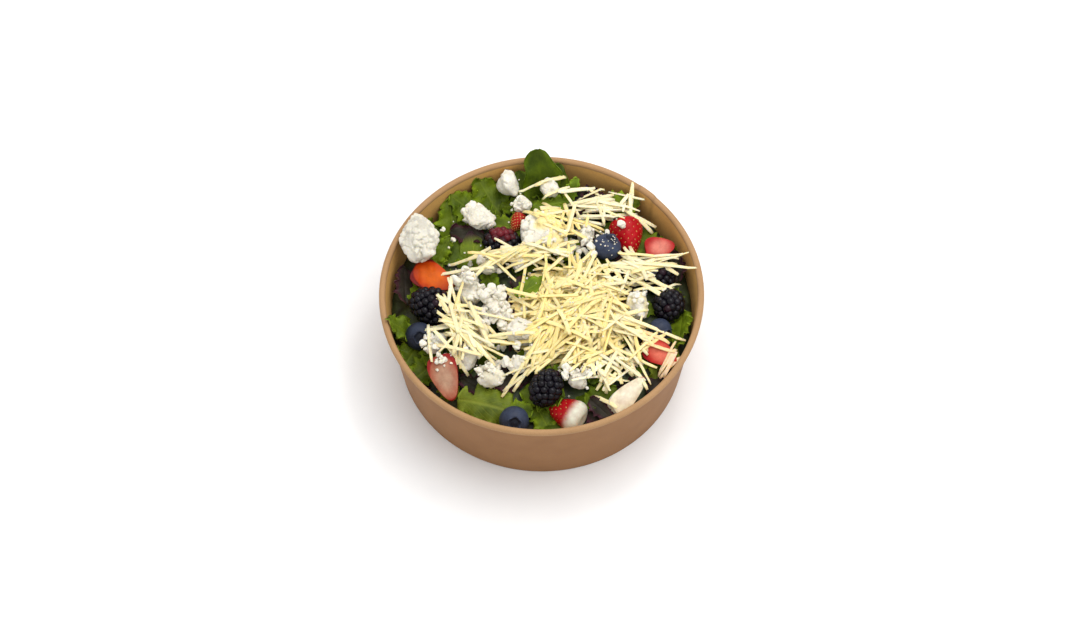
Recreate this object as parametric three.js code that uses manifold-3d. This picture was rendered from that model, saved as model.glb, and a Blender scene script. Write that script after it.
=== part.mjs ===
// A take-away salad in a round paper bowl: mixed leaves, berries, strawberry pieces,
// crumbled white cheese and a drift of shredded hard cheese.
// Units are millimetres. +Z is up, and the origin is the middle of the foot ring, on the table.
import * as THREE from "three";
import { ConvexGeometry } from "three/addons/geometries/ConvexGeometry.js";
import { mergeVertices } from "three/addons/utils/BufferGeometryUtils.js";
import Module from "manifold-3d";

const wasm = await Module();
wasm.setup();

// The bowl.
const RIM_RADIUS = 75;
const BOWL_HEIGHT = 50.2;
const FOOT_RADIUS = 67;
const BOARD = 0.9; // thickness of the paper wall and floor
const BEAD = 1.5; // radius of the rolled rim
const FOOT_WIDTH = 1.8; // the wall is folded double where it stands
const RECESS = 4.5; // the floor sits this far above the table
const BOWL_SIDES = 48;
const BEAD_START = -115; // degrees round the bead where the outer wall meets it
const BEAD_END = 190; // and where it turns into the inner wall
const BEAD_POINTS = 8;

// The heap of leaves.
const HEAP_EDGE = 33; // height of the heap at the wall
const HEAP_CROWN = 41.8; // and in the middle
const HEAP_RADIUS = 70.5;
const HEAP_SIDES = 24;
const HEAP_FALL = 5; // power of the distance with which it falls off
const HEAP_RINGS = [0.5, 0.82]; // of the radius, up to the wall
const LEAF_THICKNESS = 0.9;
const LEAF_STEPS = 5;
const LEAF_STRIPS = 2;
const LEAF_STEM = 0.1; // width of a leaf at its two ends, of its full width

// The drift of shredded cheese.
const DRIFT_MIDDLE = [12, -7];
const DRIFT_REACH = [31, 26]; // half-widths of its matted middle
const DRIFT_DEPTH = 7.5;
const DRIFT_EDGE = 1.2;
const DRIFT_SIDES = 16;
const DRIFT_RINGS = [0.6, 1]; // of the reach
const SHRED_COUNT = 46;
const SHRED_WIDTH = 1.7;
const SHRED_HEIGHT = 1.4;
const SHRED_SINK = 0.35; // how deep a shred lies in the drift
const SHRED_LENGTHS = [16, 28];
const SHRED_SPREAD = 1.3; // the middles of the shreds lie this far out, of the reach
const SHRED_SAMPLES = 7; // places along a shred where it may rest
const SHRED_TRIES = 5;
const SHRED_SEED = 11;

const GAP = 0.4; // free space between two pieces
const CRAG_DEPTH = 0.24; // relief of a cheese crumb, of its radius
const VALLEY = 0.87; // radius between two drupelets of a bramble berry, of the radius on top
const DRUPELETS = 38;
const SOCKET_GROWTH = 1.26; // how much larger a twenty-sided socket is made to go round an oval

const KRAFT = { color: 0xb98a5e, roughness: 0.75, metalness: 0 };
const LEAF = { color: 0x4c7a1e, roughness: 0.5, metalness: 0 };
const SHRED = { color: 0xf1e3a0, roughness: 0.55, metalness: 0 };
const FETA = { color: 0xf4f2ea, roughness: 0.7, metalness: 0 };
const BRAMBLE = { color: 0x15131d, roughness: 0.25, metalness: 0 };
const BLUEBERRY = { color: 0x2f3a58, roughness: 0.5, metalness: 0 };
const STRAWBERRY = { color: 0xb5121b, roughness: 0.3, metalness: 0 };

// Every berry, every strawberry piece, whole or cut in half, and every crumb as large as one. at
// is its middle, size its length, width and height before it is turned, and turn its roll, pitch
// and heading in degrees, applied in that order.
const TOPPINGS = {
  bramble: [
    { name: "bramble_left", at: [-49.5, -4.6, 44], size: [24, 18, 17], turn: [0, 4, -22] },
    { name: "bramble_back", at: [-18.6, 30.5, 43.5], size: [18, 15, 14], turn: [0, 0, -8] },
    { name: "bramble_right", at: [58.6, -2.5, 42.5], size: [16, 15, 15], turn: [0, 10, 80] },
    { name: "bramble_right_back", at: [54.8, 12.2, 41.5], size: [15, 13, 13], turn: [0, 0, 20] },
    { name: "bramble_front", at: [2, -48.8, 46.8], size: [18.5, 15, 14], turn: [0, -12, 62] },
    { name: "bramble_inner", at: [38.2, 15.6, 43], size: [10.5, 9.5, 9], turn: [0, 0, 30] },
    { name: "bramble_small", at: [43.8, -20.4, 42.8], size: [7.6, 7, 7], turn: [0, 0, -20] },
  ],
  blueberry: [
    { name: "blueberry_back", at: [30.4, 25.8, 47.5], size: [13.4, 12.8, 12], turn: [-20, 20, 0] },
    { name: "blueberry_left", at: [-56, -19.2, 42.2], size: [13.2, 13, 12.4], turn: [36, 6, 0] },
    { name: "blueberry_front", at: [-12.5, -62.4, 40.6], size: [13.6, 13.4, 12.6], turn: [42, 4, 0] },
    { name: "blueberry_right", at: [54.4, -15.6, 41.5], size: [11, 11, 10.4], turn: [70, 10, 40] },
    { name: "blueberry_small", at: [23.2, -38.6, 45], size: [8, 8, 7.4], turn: [30, -40, 0] },
  ],
  strawberry: [
    { name: "strawberry_back", at: [-11.4, 41.2, 43.6], size: [9.5, 8, 8], turn: [0, 10, -120] },
    { name: "strawberry_right_back", at: [40.2, 34.6, 42], size: [18, 16, 13], turn: [0, 10, -78] },
    { name: "strawberry_front", at: [10.8, -57.6, 39.4], size: [18, 15.5, 12.5], turn: [0, 6, 149] },
  ],
  half: [
    { name: "strawberry_left", at: [-49.6, 12, 40.6], size: [21, 14, 9], turn: [14, 4, -27] },
    { name: "strawberry_slice", at: [55, 28.6, 42], size: [14, 11, 6.5], turn: [28, 0, 12] },
    { name: "strawberry_pale", at: [-43, -42, 42], size: [22, 13.5, 9], turn: [14, 14, -71] },
    { name: "strawberry_wedge", at: [38.3, -49.9, 42.5], size: [22, 10, 8.5], turn: [30, 0, 49] },
    { name: "strawberry_right", at: [55.4, -28.8, 41.8], size: [17, 12, 7.5], turn: [26, 0, -38] },
  ],
  feta: [
    { name: "feta_rim", at: [-55.9, 27.8, 52.85], size: [19, 25.5, 14.5], turn: [-6, -16, 8] },
    { name: "feta_back_left", at: [-29.4, 43.4, 45.5], size: [18, 12, 10], turn: [10, 6, -25] },
    { name: "feta_back", at: [-15.8, 61.2, 46.6], size: [10.5, 14, 11], turn: [0, 0, 30] },
    { name: "feta_back_right", at: [3.7, 58.2, 47.2], size: [8.5, 8.5, 10.5], turn: [0, 0, 10] },
    { name: "feta_crown", at: [1.2, 33.2, 48.5], size: [21.5, 24, 11], turn: [6, 0, 10] },
    { name: "feta_right", at: [44, -4.6, 45.5], size: [10, 17, 10.5], turn: [0, 0, 12] },
    { name: "feta_middle", at: [-21, -8, 47], size: [14, 13, 10], turn: [0, 0, 50] },
    { name: "feta_middle_front", at: [-8.6, -20.4, 47.5], size: [16, 13, 10], turn: [0, 0, 20] },
    { name: "feta_left", at: [-33, 2.4, 45.5], size: [10.5, 15, 9], turn: [0, 0, 10] },
    { name: "feta_front", at: [-22.8, -42.6, 45], size: [13, 9, 8], turn: [0, 0, 8] },
    { name: "feta_front_middle", at: [-10.6, -36.4, 46], size: [10, 9, 8.5], turn: [0, 0, 40] },
    { name: "feta_front_left", at: [-33.5, -31, 44.5], size: [9, 14, 8], turn: [0, 0, -8] },
    { name: "feta_left_front", at: [-48.4, -25.4, 45.2], size: [14, 7, 7], turn: [0, 0, 50] },
    { name: "feta_inner", at: [-24, 16.6, 44.5], size: [7.5, 7, 6.5], turn: [0, 0, 0] },
    { name: "feta_inner_back", at: [-10.4, 18.4, 46], size: [8, 7, 7], turn: [0, 0, 60] },
    { name: "feta_back_inner", at: [20.4, 33, 46], size: [8, 9, 8], turn: [0, 0, 0] },
    { name: "feta_low", at: [16.4, -44.6, 45.5], size: [8.5, 7.5, 7], turn: [0, 0, -30] },
    { name: "feta_back_middle", at: [-8.8, 50.2, 45.6], size: [9.5, 8, 7], turn: [0, 0, -15] },
  ],
};

// The leaves that show round the edge of the heap. at is the middle of the leaf, heading the way
// its tip points in plan, pitch how far the tip is raised and roll how far its left side is
// (degrees). bend curls it along its length, cup lifts its sides, and ruffle waves its edges.
const LEAVES = [
  { at: [0.5, 63.2, 49], length: 27.5, width: 22, heading: 91, pitch: 53, roll: 0,
    bend: -14, cup: 0.1, ruffle: 0.5, waves: 2 },
  { at: [-7.5, 61.5, 43], length: 17, width: 13, heading: 122, pitch: 25, roll: 0,
    bend: 10, cup: -0.1, ruffle: 0.8, waves: 2 },
  { at: [9.8, 64.6, 48], length: 17, width: 12, heading: 62, pitch: 36, roll: 10,
    bend: -20, cup: 0.1, ruffle: 0.6, waves: 2 },
  { at: [-24.6, 56.8, 40.5], length: 24, width: 18, heading: 125, pitch: 20, roll: 8,
    bend: 20, cup: 0.1, ruffle: 2.2, waves: 4 },
  { at: [-34.4, 51.6, 40], length: 22, width: 16, heading: 152, pitch: 22, roll: -10,
    bend: 20, cup: 0.1, ruffle: 2, waves: 4 },
  { at: [-42, 44.4, 39], length: 23, width: 15, heading: 100, pitch: 16, roll: 20,
    bend: 10, cup: 0, ruffle: 2, waves: 3 },
  { at: [-42.4, 31, 40.5], length: 22, width: 15, heading: 78, pitch: -8, roll: -10,
    bend: -30, cup: -0.35, ruffle: 0.4, waves: 2 },
  { at: [-31.6, 27, 41.5], length: 22, width: 13, heading: 97, pitch: 12, roll: 4,
    bend: -40, cup: -0.2, ruffle: 0.6, waves: 2 },
  { at: [36.2, 51.4, 43], length: 20, width: 13, heading: 6, pitch: 10, roll: 26,
    bend: -12, cup: -0.2, ruffle: 1, waves: 2 },
  { at: [17, 61.4, 42], length: 13, width: 9, heading: 62, pitch: 34, roll: 0,
    bend: -10, cup: 0.1, ruffle: 0.6, waves: 2 },
  { at: [64, -14, 40], length: 20, width: 12, heading: -98, pitch: 4, roll: 44,
    bend: 10, cup: 0.1, ruffle: 1.6, waves: 4 },
  { at: [-64.8, -16.2, 45.2], length: 19, width: 11, heading: 172, pitch: 40, roll: 6,
    bend: -10, cup: 0.1, ruffle: 1.2, waves: 3 },
  { at: [-60.4, -28, 38.5], length: 20, width: 14, heading: -118, pitch: 2, roll: -24,
    bend: 10, cup: 0, ruffle: 2, waves: 4 },
  { at: [-54, -35.4, 38], length: 19, width: 13, heading: -135, pitch: 2, roll: -16,
    bend: 16, cup: 0, ruffle: 1.4, waves: 3 },
  { at: [-24, -54.6, 41], length: 30, width: 22, heading: -14, pitch: -4, roll: 14,
    bend: -50, cup: -0.36, ruffle: 1.8, waves: 4 },
  { at: [1, -60.6, 38], length: 17, width: 11, heading: -62, pitch: -4, roll: 0,
    bend: 0, cup: 0.1, ruffle: 1.4, waves: 3 },
  { at: [27, -49.6, 41], length: 16, width: 11, heading: 28, pitch: 4, roll: 8,
    bend: 10, cup: 0, ruffle: 1.8, waves: 3 },
  { at: [21.6, 55.4, 41], length: 20, width: 13, heading: 4, pitch: 4, roll: 20,
    bend: -12, cup: -0.1, ruffle: 1.8, waves: 4 },
  { at: [-64, 10.4, 40], length: 20, width: 11, heading: 94, pitch: 6, roll: 50,
    bend: 0, cup: 0.1, ruffle: 1, waves: 2 },
  { at: [25.6, -58.6, 38.6], length: 20, width: 10, heading: -52, pitch: -4, roll: 10,
    bend: -10, cup: 0, ruffle: 0.8, waves: 2 },
  { at: [-56.6, -44, 36.2], length: 20, width: 11, heading: -48, pitch: 0, roll: -20,
    bend: 0, cup: 0.1, ruffle: 1.2, waves: 3 },
  { at: [61.6, 22, 37.6], length: 17, width: 11, heading: 104, pitch: 6, roll: -26,
    bend: 0, cup: 0, ruffle: 1.4, waves: 3 },
  { at: [54.4, -40.4, 37.6], length: 17, width: 11, heading: 50, pitch: 2, roll: -16,
    bend: 0, cup: 0, ruffle: 1.2, waves: 3 },
  { at: [-53.6, 40.6, 37.6], length: 20, width: 14, heading: 132, pitch: 8, roll: 10,
    bend: 0, cup: 0, ruffle: 1.6, waves: 3 },
];

// A few long shreds that reach from the drift to the rim or over the berries, and others that
// lie on the leaves: where each starts and ends in plan.
const LONG_SHREDS = [
  { from: [33, -10.5], to: [72, -12.5] },
  { from: [36, -13], to: [66, -21.5] },
  { from: [38, 17], to: [72, 13] },
  { from: [-14, 12], to: [-42, 19] },
  { from: [-12, -16], to: [-40, -12] },
  { from: [12, 18], to: [16, 52] },
  { from: [20, 16], to: [41, 42] },
  { from: [0, -26], to: [-22, -36] },
  { from: [22, -28], to: [36, -44] },
];
const LEAF_SHREDS = [
  { from: [-44, -12], to: [-26, -22] },
  { from: [-42, -6], to: [-38, -24] },
  { from: [-36, -14], to: [-40, -34] },
  { from: [-46, 20], to: [-28, 22] },
  { from: [24, -50], to: [34, -60] },
  { from: [12, 50], to: [34, 56] },
  { from: [40, 45], to: [52, 38] },
];

// Small crumbs of white cheese on the leaves: the place of each in plan, and its size.
const CRUMBS = [
  { at: [-42.3, 36.6], size: 5.5 },
  { at: [-61, 2], size: 4 },
  { at: [-38, 10], size: 5 },
  { at: [-26, -26], size: 5.5 },
  { at: [-36, -46], size: 5 },
  { at: [-18, -56], size: 4.5 },
  { at: [47, 20], size: 4.5 },
  { at: [64, -22], size: 3.8 },
  { at: [31, -46], size: 4.5 },
  { at: [-62, -28], size: 4 },
];

function degrees(angle) {
  return THREE.MathUtils.degToRad(angle);
}

// A repeatable source of numbers from 0 to 1.
function seeded(seed) {
  let state = seed;
  return () => {
    state = (state + 0x6d2b79f5) | 0;
    let mixed = Math.imul(state ^ (state >>> 15), 1 | state);
    mixed = (mixed + Math.imul(mixed ^ (mixed >>> 7), 61 | mixed)) ^ mixed;
    return ((mixed ^ (mixed >>> 14)) >>> 0) / 2 ** 32;
  };
}

// A smooth uneven value from -1 to 1 at a point, different for each seed.
function lump(point, seed) {
  const { x, y, z } = point;
  const first = Math.sin(2.3 * x + 1.7 * y - 1.1 * z + seed * 1.9);
  const second = Math.sin(-1.6 * x + 2.9 * y + 2.2 * z + seed * 4.3);
  const third = Math.sin(3.7 * x - 2.1 * y + 3.9 * z + seed * 7.7);
  return (first + second + third) / 3;
}

// The geometry as a solid, and a solid as a geometry.
function toSolid(geometry) {
  const bare = new THREE.BufferGeometry();
  bare.setAttribute("position", geometry.getAttribute("position"));
  bare.setIndex(geometry.index);
  const merged = mergeVertices(bare, 1e-4);
  const mesh = new wasm.Mesh({
    numProp: 3,
    vertProperties: merged.attributes.position.array,
    triVerts: new Uint32Array(merged.index.array),
  });
  return new wasm.Manifold(mesh);
}

function toGeometry(solid) {
  const mesh = solid.getMesh();
  const geometry = new THREE.BufferGeometry();
  geometry.setAttribute("position", new THREE.BufferAttribute(mesh.vertProperties, 3));
  geometry.setIndex(new THREE.BufferAttribute(mesh.triVerts, 1));
  geometry.computeVertexNormals();
  return geometry;
}

function joined(solids) {
  return solids.reduce((whole, piece) => whole.add(piece));
}

// The solid without the scraps that a cut leaves loose.
function largest(solid) {
  return solid.decompose().reduce((best, piece) => (piece.volume() > best.volume() ? piece : best));
}

// Moves each vertex of a geometry to where place puts it.
function reshape(geometry, place) {
  const position = geometry.getAttribute("position");
  const point = new THREE.Vector3();
  for (let i = 0; i < position.count; i++) {
    place(point.fromBufferAttribute(position, i));
    position.setXYZ(i, point.x, point.y, point.z);
  }
  return geometry;
}

// Centres a geometry and scales it to a length, width and height.
function fitted(geometry, size) {
  geometry.center();
  const box = geometry.boundingBox.getSize(new THREE.Vector3());
  geometry.scale(size[0] / box.x, size[1] / box.y, size[2] / box.z);
  return geometry;
}

// A solid of revolution about Z from [radius, height] points.
function turned(profile, sides) {
  const points = profile.map(([radius, height]) => new THREE.Vector2(radius, height));
  return new THREE.LatheGeometry(points, sides).rotateX(Math.PI / 2);
}

// The radius of the bowl's inner wall at a height.
function innerRadius(z) {
  const beadX = RIM_RADIUS - BEAD + BEAD * Math.cos(degrees(BEAD_END));
  const beadZ = BOWL_HEIGHT - BEAD + BEAD * Math.sin(degrees(BEAD_END));
  return THREE.MathUtils.mapLinear(z, 0, beadZ, FOOT_RADIUS - BOARD, beadX);
}

function bowlGeometry() {
  const bead = Array.from({ length: BEAD_POINTS }, (_, i) => {
    const angle = degrees(THREE.MathUtils.lerp(BEAD_START, BEAD_END, i / (BEAD_POINTS - 1)));
    return [RIM_RADIUS - BEAD + BEAD * Math.cos(angle), BOWL_HEIGHT - BEAD + BEAD * Math.sin(angle)];
  });
  const floor = RECESS + BOARD;
  return turned(
    [
      [0, RECESS],
      [FOOT_RADIUS - FOOT_WIDTH, RECESS],
      [FOOT_RADIUS - FOOT_WIDTH, 0],
      [FOOT_RADIUS, 0],
      ...bead,
      [innerRadius(floor), floor],
      [0, floor],
    ],
    BOWL_SIDES,
  );
}

// The space that the food may fill: inside the wall, and wide open above the rim.
function roomSolid() {
  const floor = RECESS + BOARD + GAP;
  const sky = 2 * BOWL_HEIGHT;
  const clear = (BEAD + GAP) / Math.cos(degrees(22.5));
  const overBead = [180, 135, 90].map((angle) => [
    RIM_RADIUS - BEAD + clear * Math.cos(degrees(angle)),
    BOWL_HEIGHT - BEAD + clear * Math.sin(degrees(angle)),
  ]);
  const wall = [innerRadius(floor) - GAP, floor];
  const outside = overBead[2][1];
  return toSolid(
    turned([[0, floor], wall, ...overBead, [RIM_RADIUS, outside], [RIM_RADIUS, sky], [0, sky]], BOWL_SIDES),
  );
}

// Height of the bare heap, under the leaves and toppings.
function heapHeight(x, y) {
  const share = Math.hypot(x, y) / HEAP_RADIUS;
  return THREE.MathUtils.lerp(HEAP_CROWN, HEAP_EDGE, share ** HEAP_FALL);
}

// How far out a place is in the drift, from 0 in its middle to 1 at its edge.
function driftShare(x, y) {
  const [across, along] = [x - DRIFT_MIDDLE[0], y - DRIFT_MIDDLE[1]];
  return Math.hypot(across / DRIFT_REACH[0], along / DRIFT_REACH[1]);
}

// Height of the top of the drift.
function driftHeight(x, y) {
  const share = driftShare(x, y);
  const depth = share < 1 ? DRIFT_EDGE + DRIFT_DEPTH * (1 - share ** 2) : 0;
  return heapHeight(x, y) + 2 * GAP + depth;
}

// A closed skin through rings of points, each ring as long as the last, with a point at each end.
function ringSkin(start, rings, end) {
  const sides = rings[0].length;
  const positions = [start, ...rings.flat(), end].flatMap((point) => point.toArray());
  const index = [];
  for (let side = 0; side < sides; side++) {
    const next = (side + 1) % sides;
    index.push(0, 1 + next, 1 + side);
    for (let ring = 0; ring < rings.length - 1; ring++) {
      const here = 1 + ring * sides;
      const there = here + sides;
      index.push(here + side, here + next, there + next, here + side, there + next, there + side);
    }
    const last = 1 + (rings.length - 1) * sides;
    index.push(last + side, last + next, last + sides);
  }
  const geometry = new THREE.BufferGeometry();
  geometry.setAttribute("position", new THREE.Float32BufferAttribute(positions, 3));
  geometry.setIndex(index);
  return geometry;
}

// A level ring of points round a middle, each lifted to the height that heightAt gives.
function ringAt(middle, reach, sides, heightAt) {
  return Array.from({ length: sides }, (_, i) => {
    const angle = (2 * Math.PI * i) / sides;
    const x = middle[0] + reach[0] * Math.cos(angle);
    const y = middle[1] + reach[1] * Math.sin(angle);
    return new THREE.Vector3(x, y, heightAt(x, y));
  });
}

function heapSolid() {
  const floor = RECESS + BOARD + GAP;
  const ring = (radius, heightAt) => ringAt([0, 0], [radius, radius], HEAP_SIDES, heightAt);
  const foot = ring(innerRadius(floor) - 2 * GAP, () => floor);
  const wall = ring(innerRadius(HEAP_EDGE) - 2 * GAP, heapHeight);
  const top = HEAP_RINGS.map((share) => ring(HEAP_RADIUS * share, heapHeight)).reverse();
  const crown = new THREE.Vector3(0, 0, heapHeight(0, 0));
  return toSolid(ringSkin(new THREE.Vector3(0, 0, floor), [foot, wall, ...top], crown));
}

// The matted middle of the drift.
function driftSolid() {
  const ring = (share, heightAt) =>
    ringAt(DRIFT_MIDDLE, DRIFT_REACH.map((reach) => share * reach), DRIFT_SIDES, heightAt);
  const under = (x, y) => heapHeight(x, y) + 2 * GAP;
  const over = (x, y) => Math.max(driftHeight(x, y), under(x, y) + DRIFT_EDGE);
  const below = DRIFT_RINGS.map((share) => ring(share, under));
  const above = DRIFT_RINGS.map((share) => ring(share, over)).reverse();
  const [x, y] = DRIFT_MIDDLE;
  const bottom = new THREE.Vector3(x, y, under(x, y));
  const top = new THREE.Vector3(x, y, over(x, y));
  return toSolid(ringSkin(bottom, [...below, ...above], top));
}

// Where a point of a leaf lies. along runs from 0 at the stem to 1 at the tip, across from -1 to
// 1, and lift is the distance above its middle surface.
function leafPoint(leaf, along, across, lift) {
  const arc = degrees(leaf.bend) * (along - 0.5);
  const half = (leaf.width / 2) * (LEAF_STEM + (1 - LEAF_STEM) * Math.sin(Math.PI * along ** 0.8) ** 0.7);
  const edge = across ** 2;
  const wave = leaf.ruffle * edge * Math.sin(2 * Math.PI * leaf.waves * along + across);
  const rise = lift + wave + leaf.cup * half * edge;
  const distance = leaf.length * (along - 0.5);
  return new THREE.Vector3(
    distance * Math.cos(arc / 2) - rise * Math.sin(arc),
    across * half,
    distance * Math.sin(arc / 2) + rise * Math.cos(arc),
  );
}

// One thin wavy leaf: an upper and a lower sheet, split into triangles alike.
function leafSolid(leaf, thickness) {
  const rings = [];
  for (let step = 0; step <= LEAF_STEPS; step++) {
    const along = step / LEAF_STEPS;
    const acrosses = Array.from({ length: LEAF_STRIPS + 1 }, (_, i) => (2 * i) / LEAF_STRIPS - 1);
    const upper = acrosses.map((across) => leafPoint(leaf, along, across, thickness / 2));
    const lower = acrosses.map((across) => leafPoint(leaf, along, across, -thickness / 2));
    rings.push([...lower, ...upper.reverse()]);
  }
  const stem = leafPoint(leaf, 0, 0, 0);
  const tip = leafPoint(leaf, 1, 0, 0);
  const turn = new THREE.Euler(degrees(leaf.roll), degrees(-leaf.pitch), degrees(leaf.heading), "ZYX");
  const geometry = ringSkin(stem, rings, tip)
    .applyMatrix4(new THREE.Matrix4().makeRotationFromEuler(turn))
    .translate(...leaf.at);
  return toSolid(geometry);
}

// A bramble berry: drupelets spread evenly round an oval, with a valley between every three.
function brambleGeometry(topping) {
  const turn = Math.PI * (3 - Math.sqrt(5));
  const tops = Array.from({ length: DRUPELETS }, (_, i) => {
    const height = 1 - (2 * (i + 0.5)) / DRUPELETS;
    const radius = Math.sqrt(1 - height ** 2);
    return new THREE.Vector3(height, radius * Math.cos(i * turn), radius * Math.sin(i * turn));
  });
  const hull = new ConvexGeometry(tops).getAttribute("position");
  const positions = [];
  for (let face = 0; face < hull.count; face += 3) {
    const corners = [0, 1, 2].map((i) => new THREE.Vector3().fromBufferAttribute(hull, face + i));
    const valley = new THREE.Vector3().add(corners[0]).add(corners[1]).add(corners[2]);
    valley.setLength(VALLEY);
    corners.forEach((corner, i) => {
      positions.push(...corner.toArray(), ...corners[(i + 1) % 3].toArray(), ...valley.toArray());
    });
  }
  const geometry = new THREE.BufferGeometry();
  geometry.setAttribute("position", new THREE.Float32BufferAttribute(positions, 3));
  return fitted(geometry, topping.size);
}

// A blueberry with the open star of its calyx on top.
function blueberryGeometry(topping) {
  const body = [-90, -58, -28, 0, 28, 56].map((angle) => [
    Math.cos(degrees(angle)),
    0.9 * Math.sin(degrees(angle)),
  ]);
  const calyx = [
    [0.4, 0.88],
    [0, 0.72],
  ];
  return fitted(turned([...body, ...calyx], 12), topping.size);
}

// The outline of a strawberry from its tip to its shoulder, as [radius, height].
const STRAWBERRY_PROFILE = [
  [0, -1],
  [0.36, -0.84],
  [0.7, -0.3],
  [0.93, 0.36],
  [0.74, 0.88],
  [0, 0.9],
];

// A strawberry lying along X with its tip forwards.
function strawberryGeometry(topping) {
  const geometry = turned(STRAWBERRY_PROFILE, 12).rotateY(-Math.PI / 2);
  return fitted(geometry, topping.size);
}

// A strawberry cut along its length, with the cut face up.
function halfGeometry() {
  const whole = toSolid(turned(STRAWBERRY_PROFILE, 12).rotateY(-Math.PI / 2));
  return toGeometry(whole.trimByPlane([0, 0, -1], -0.12));
}

// A crumb of cheese: an uneven crag.
function fetaGeometry(topping, seed) {
  const detail = Math.max(...topping.size) > 15 ? 2 : 1;
  const geometry = new THREE.IcosahedronGeometry(1, detail);
  reshape(geometry, (point) => point.multiplyScalar(1 + CRAG_DEPTH * lump(point, seed)));
  return fitted(geometry, topping.size);
}

const SHAPES = {
  bramble: { make: brambleGeometry, finish: BRAMBLE },
  blueberry: { make: blueberryGeometry, finish: BLUEBERRY },
  strawberry: { make: strawberryGeometry, finish: STRAWBERRY },
  half: { make: (topping) => fitted(halfGeometry(), topping.size), finish: STRAWBERRY },
  feta: { make: fetaGeometry, finish: FETA },
};

function meshOf(name, geometry, finish) {
  const mesh = new THREE.Mesh(geometry, new THREE.MeshStandardMaterial(finish));
  mesh.name = name;
  return mesh;
}

function toppingMesh(topping, seed) {
  const { make, finish } = SHAPES[topping.kind];
  const mesh = meshOf(topping.name, make(topping, seed), finish);
  mesh.position.set(...topping.at);
  mesh.rotation.set(...topping.turn.map(degrees), "ZYX");
  mesh.updateMatrixWorld();
  return mesh;
}

// A mesh as a solid where it stands.
function standing(mesh) {
  return toSolid(mesh.geometry.clone().applyMatrix4(mesh.matrixWorld));
}

// The room round a topping, to cut its socket out of what it lies in: a coarse oval, or for a
// strawberry its own form, a gap larger all round.
function socketSolid(mesh, topping) {
  const round = ["bramble", "blueberry", "feta"].includes(topping.kind);
  const oval = fitted(new THREE.IcosahedronGeometry(1, 0), topping.size);
  const geometry = round ? oval : mesh.geometry.clone();
  const facets = round ? SOCKET_GROWTH : 1;
  const grow = topping.size.map((side) => facets * (1 + (4 * GAP) / side));
  return toSolid(geometry.scale(...grow).applyMatrix4(mesh.matrixWorld));
}

// Height of the top of a solid over a place, or nothing beside it.
function topAt(solid, x, y) {
  const cut = solid.intersect(needle.translate([x, y, 0]));
  return cut.isEmpty() ? 0 : cut.boundingBox().max[2];
}

// The two ends of a straight shred over a line in plan. It rests on two places, one on each side
// of its middle, half sunk in what it clings to and just clear of the rest.
function restingEnds({ from, to }, clingTo, clearOf) {
  const spots = Array.from({ length: SHRED_SAMPLES }, (_, i) => {
    const share = i / (SHRED_SAMPLES - 1);
    const place = [0, 1].map((axis) => THREE.MathUtils.lerp(from[axis], to[axis], share));
    const sunk = topAt(clingTo, ...place) - SHRED_SINK;
    return { share, height: SHRED_HEIGHT / 2 + Math.max(sunk, topAt(clearOf, ...place) + 1.5 * GAP) };
  });
  const slopeOf = (first, second) => (second.height - first.height) / (second.share - first.share);
  const middleOf = (first, second) => first.height + (0.5 - first.share) * slopeOf(first, second);
  const before = spots.filter(({ share }) => share < 0.5);
  const after = spots.filter(({ share }) => share > 0.5);
  const pairs = before.flatMap((first) => after.map((second) => [first, second]));
  const rest = pairs.reduce((best, pair) => (middleOf(...pair) > middleOf(...best) ? pair : best));
  const middle = middleOf(...rest);
  const half = slopeOf(...rest) / 2;
  return [new THREE.Vector3(...from, middle - half), new THREE.Vector3(...to, middle + half)];
}

// A straight strip from one end to the other, grown all round.
function stripSolid([start, end], grow) {
  const length = start.distanceTo(end) + 2 * grow;
  const turn = new THREE.Matrix4().lookAt(start, end, new THREE.Vector3(0, 0, 1));
  const middle = start.clone().lerp(end, 0.5);
  return toSolid(
    new THREE.BoxGeometry(SHRED_WIDTH + 2 * grow, SHRED_HEIGHT + 2 * grow, length)
      .applyMatrix4(turn)
      .translate(...middle.toArray()),
  );
}

// The shreds that cling to one solid and stay clear of another. Each line has a few versions, and
// the first one that fits is laid.
function laidShreds(lines, clingTo, clearOf) {
  return lines.flatMap((versions) => {
    const found = versions
      .map((line) => restingEnds(line, clingTo, clearOf))
      .find((ends) => isLaid(ends, clingTo, clearOf));
    return found ? [stripSolid(found, 0)] : [];
  });
}

function isLaid(ends, clingTo, clearOf) {
  const clear = stripSolid(ends, GAP).intersect(clearOf).isEmpty();
  return clear && !stripSolid(ends, 0).intersect(clingTo).isEmpty();
}

// Lines spread evenly over the drift, each in a few directions and lengths.
function scatteredLines() {
  const random = seeded(SHRED_SEED);
  const turn = Math.PI * (3 - Math.sqrt(5));
  return Array.from({ length: SHRED_COUNT }, (_, i) => {
    const share = SHRED_SPREAD * Math.sqrt((i + 0.5) / SHRED_COUNT);
    const x = DRIFT_MIDDLE[0] + share * DRIFT_REACH[0] * Math.cos(i * turn);
    const y = DRIFT_MIDDLE[1] + share * DRIFT_REACH[1] * Math.sin(i * turn);
    return Array.from({ length: SHRED_TRIES }, () => {
      const heading = Math.PI * random();
      const half = THREE.MathUtils.lerp(...SHRED_LENGTHS, random()) / 2;
      const [dx, dy] = [half * Math.cos(heading), half * Math.sin(heading)];
      return { from: [x - dx, y - dy], to: [x + dx, y + dy] };
    });
  });
}

// A line, and its nearer and farther part.
function shortened({ from, to }) {
  const along = (share) => [0, 1].map((axis) => THREE.MathUtils.lerp(from[axis], to[axis], share));
  return [
    { from, to },
    { from, to: along(0.7) },
    { from: along(0.3), to },
  ];
}

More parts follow.
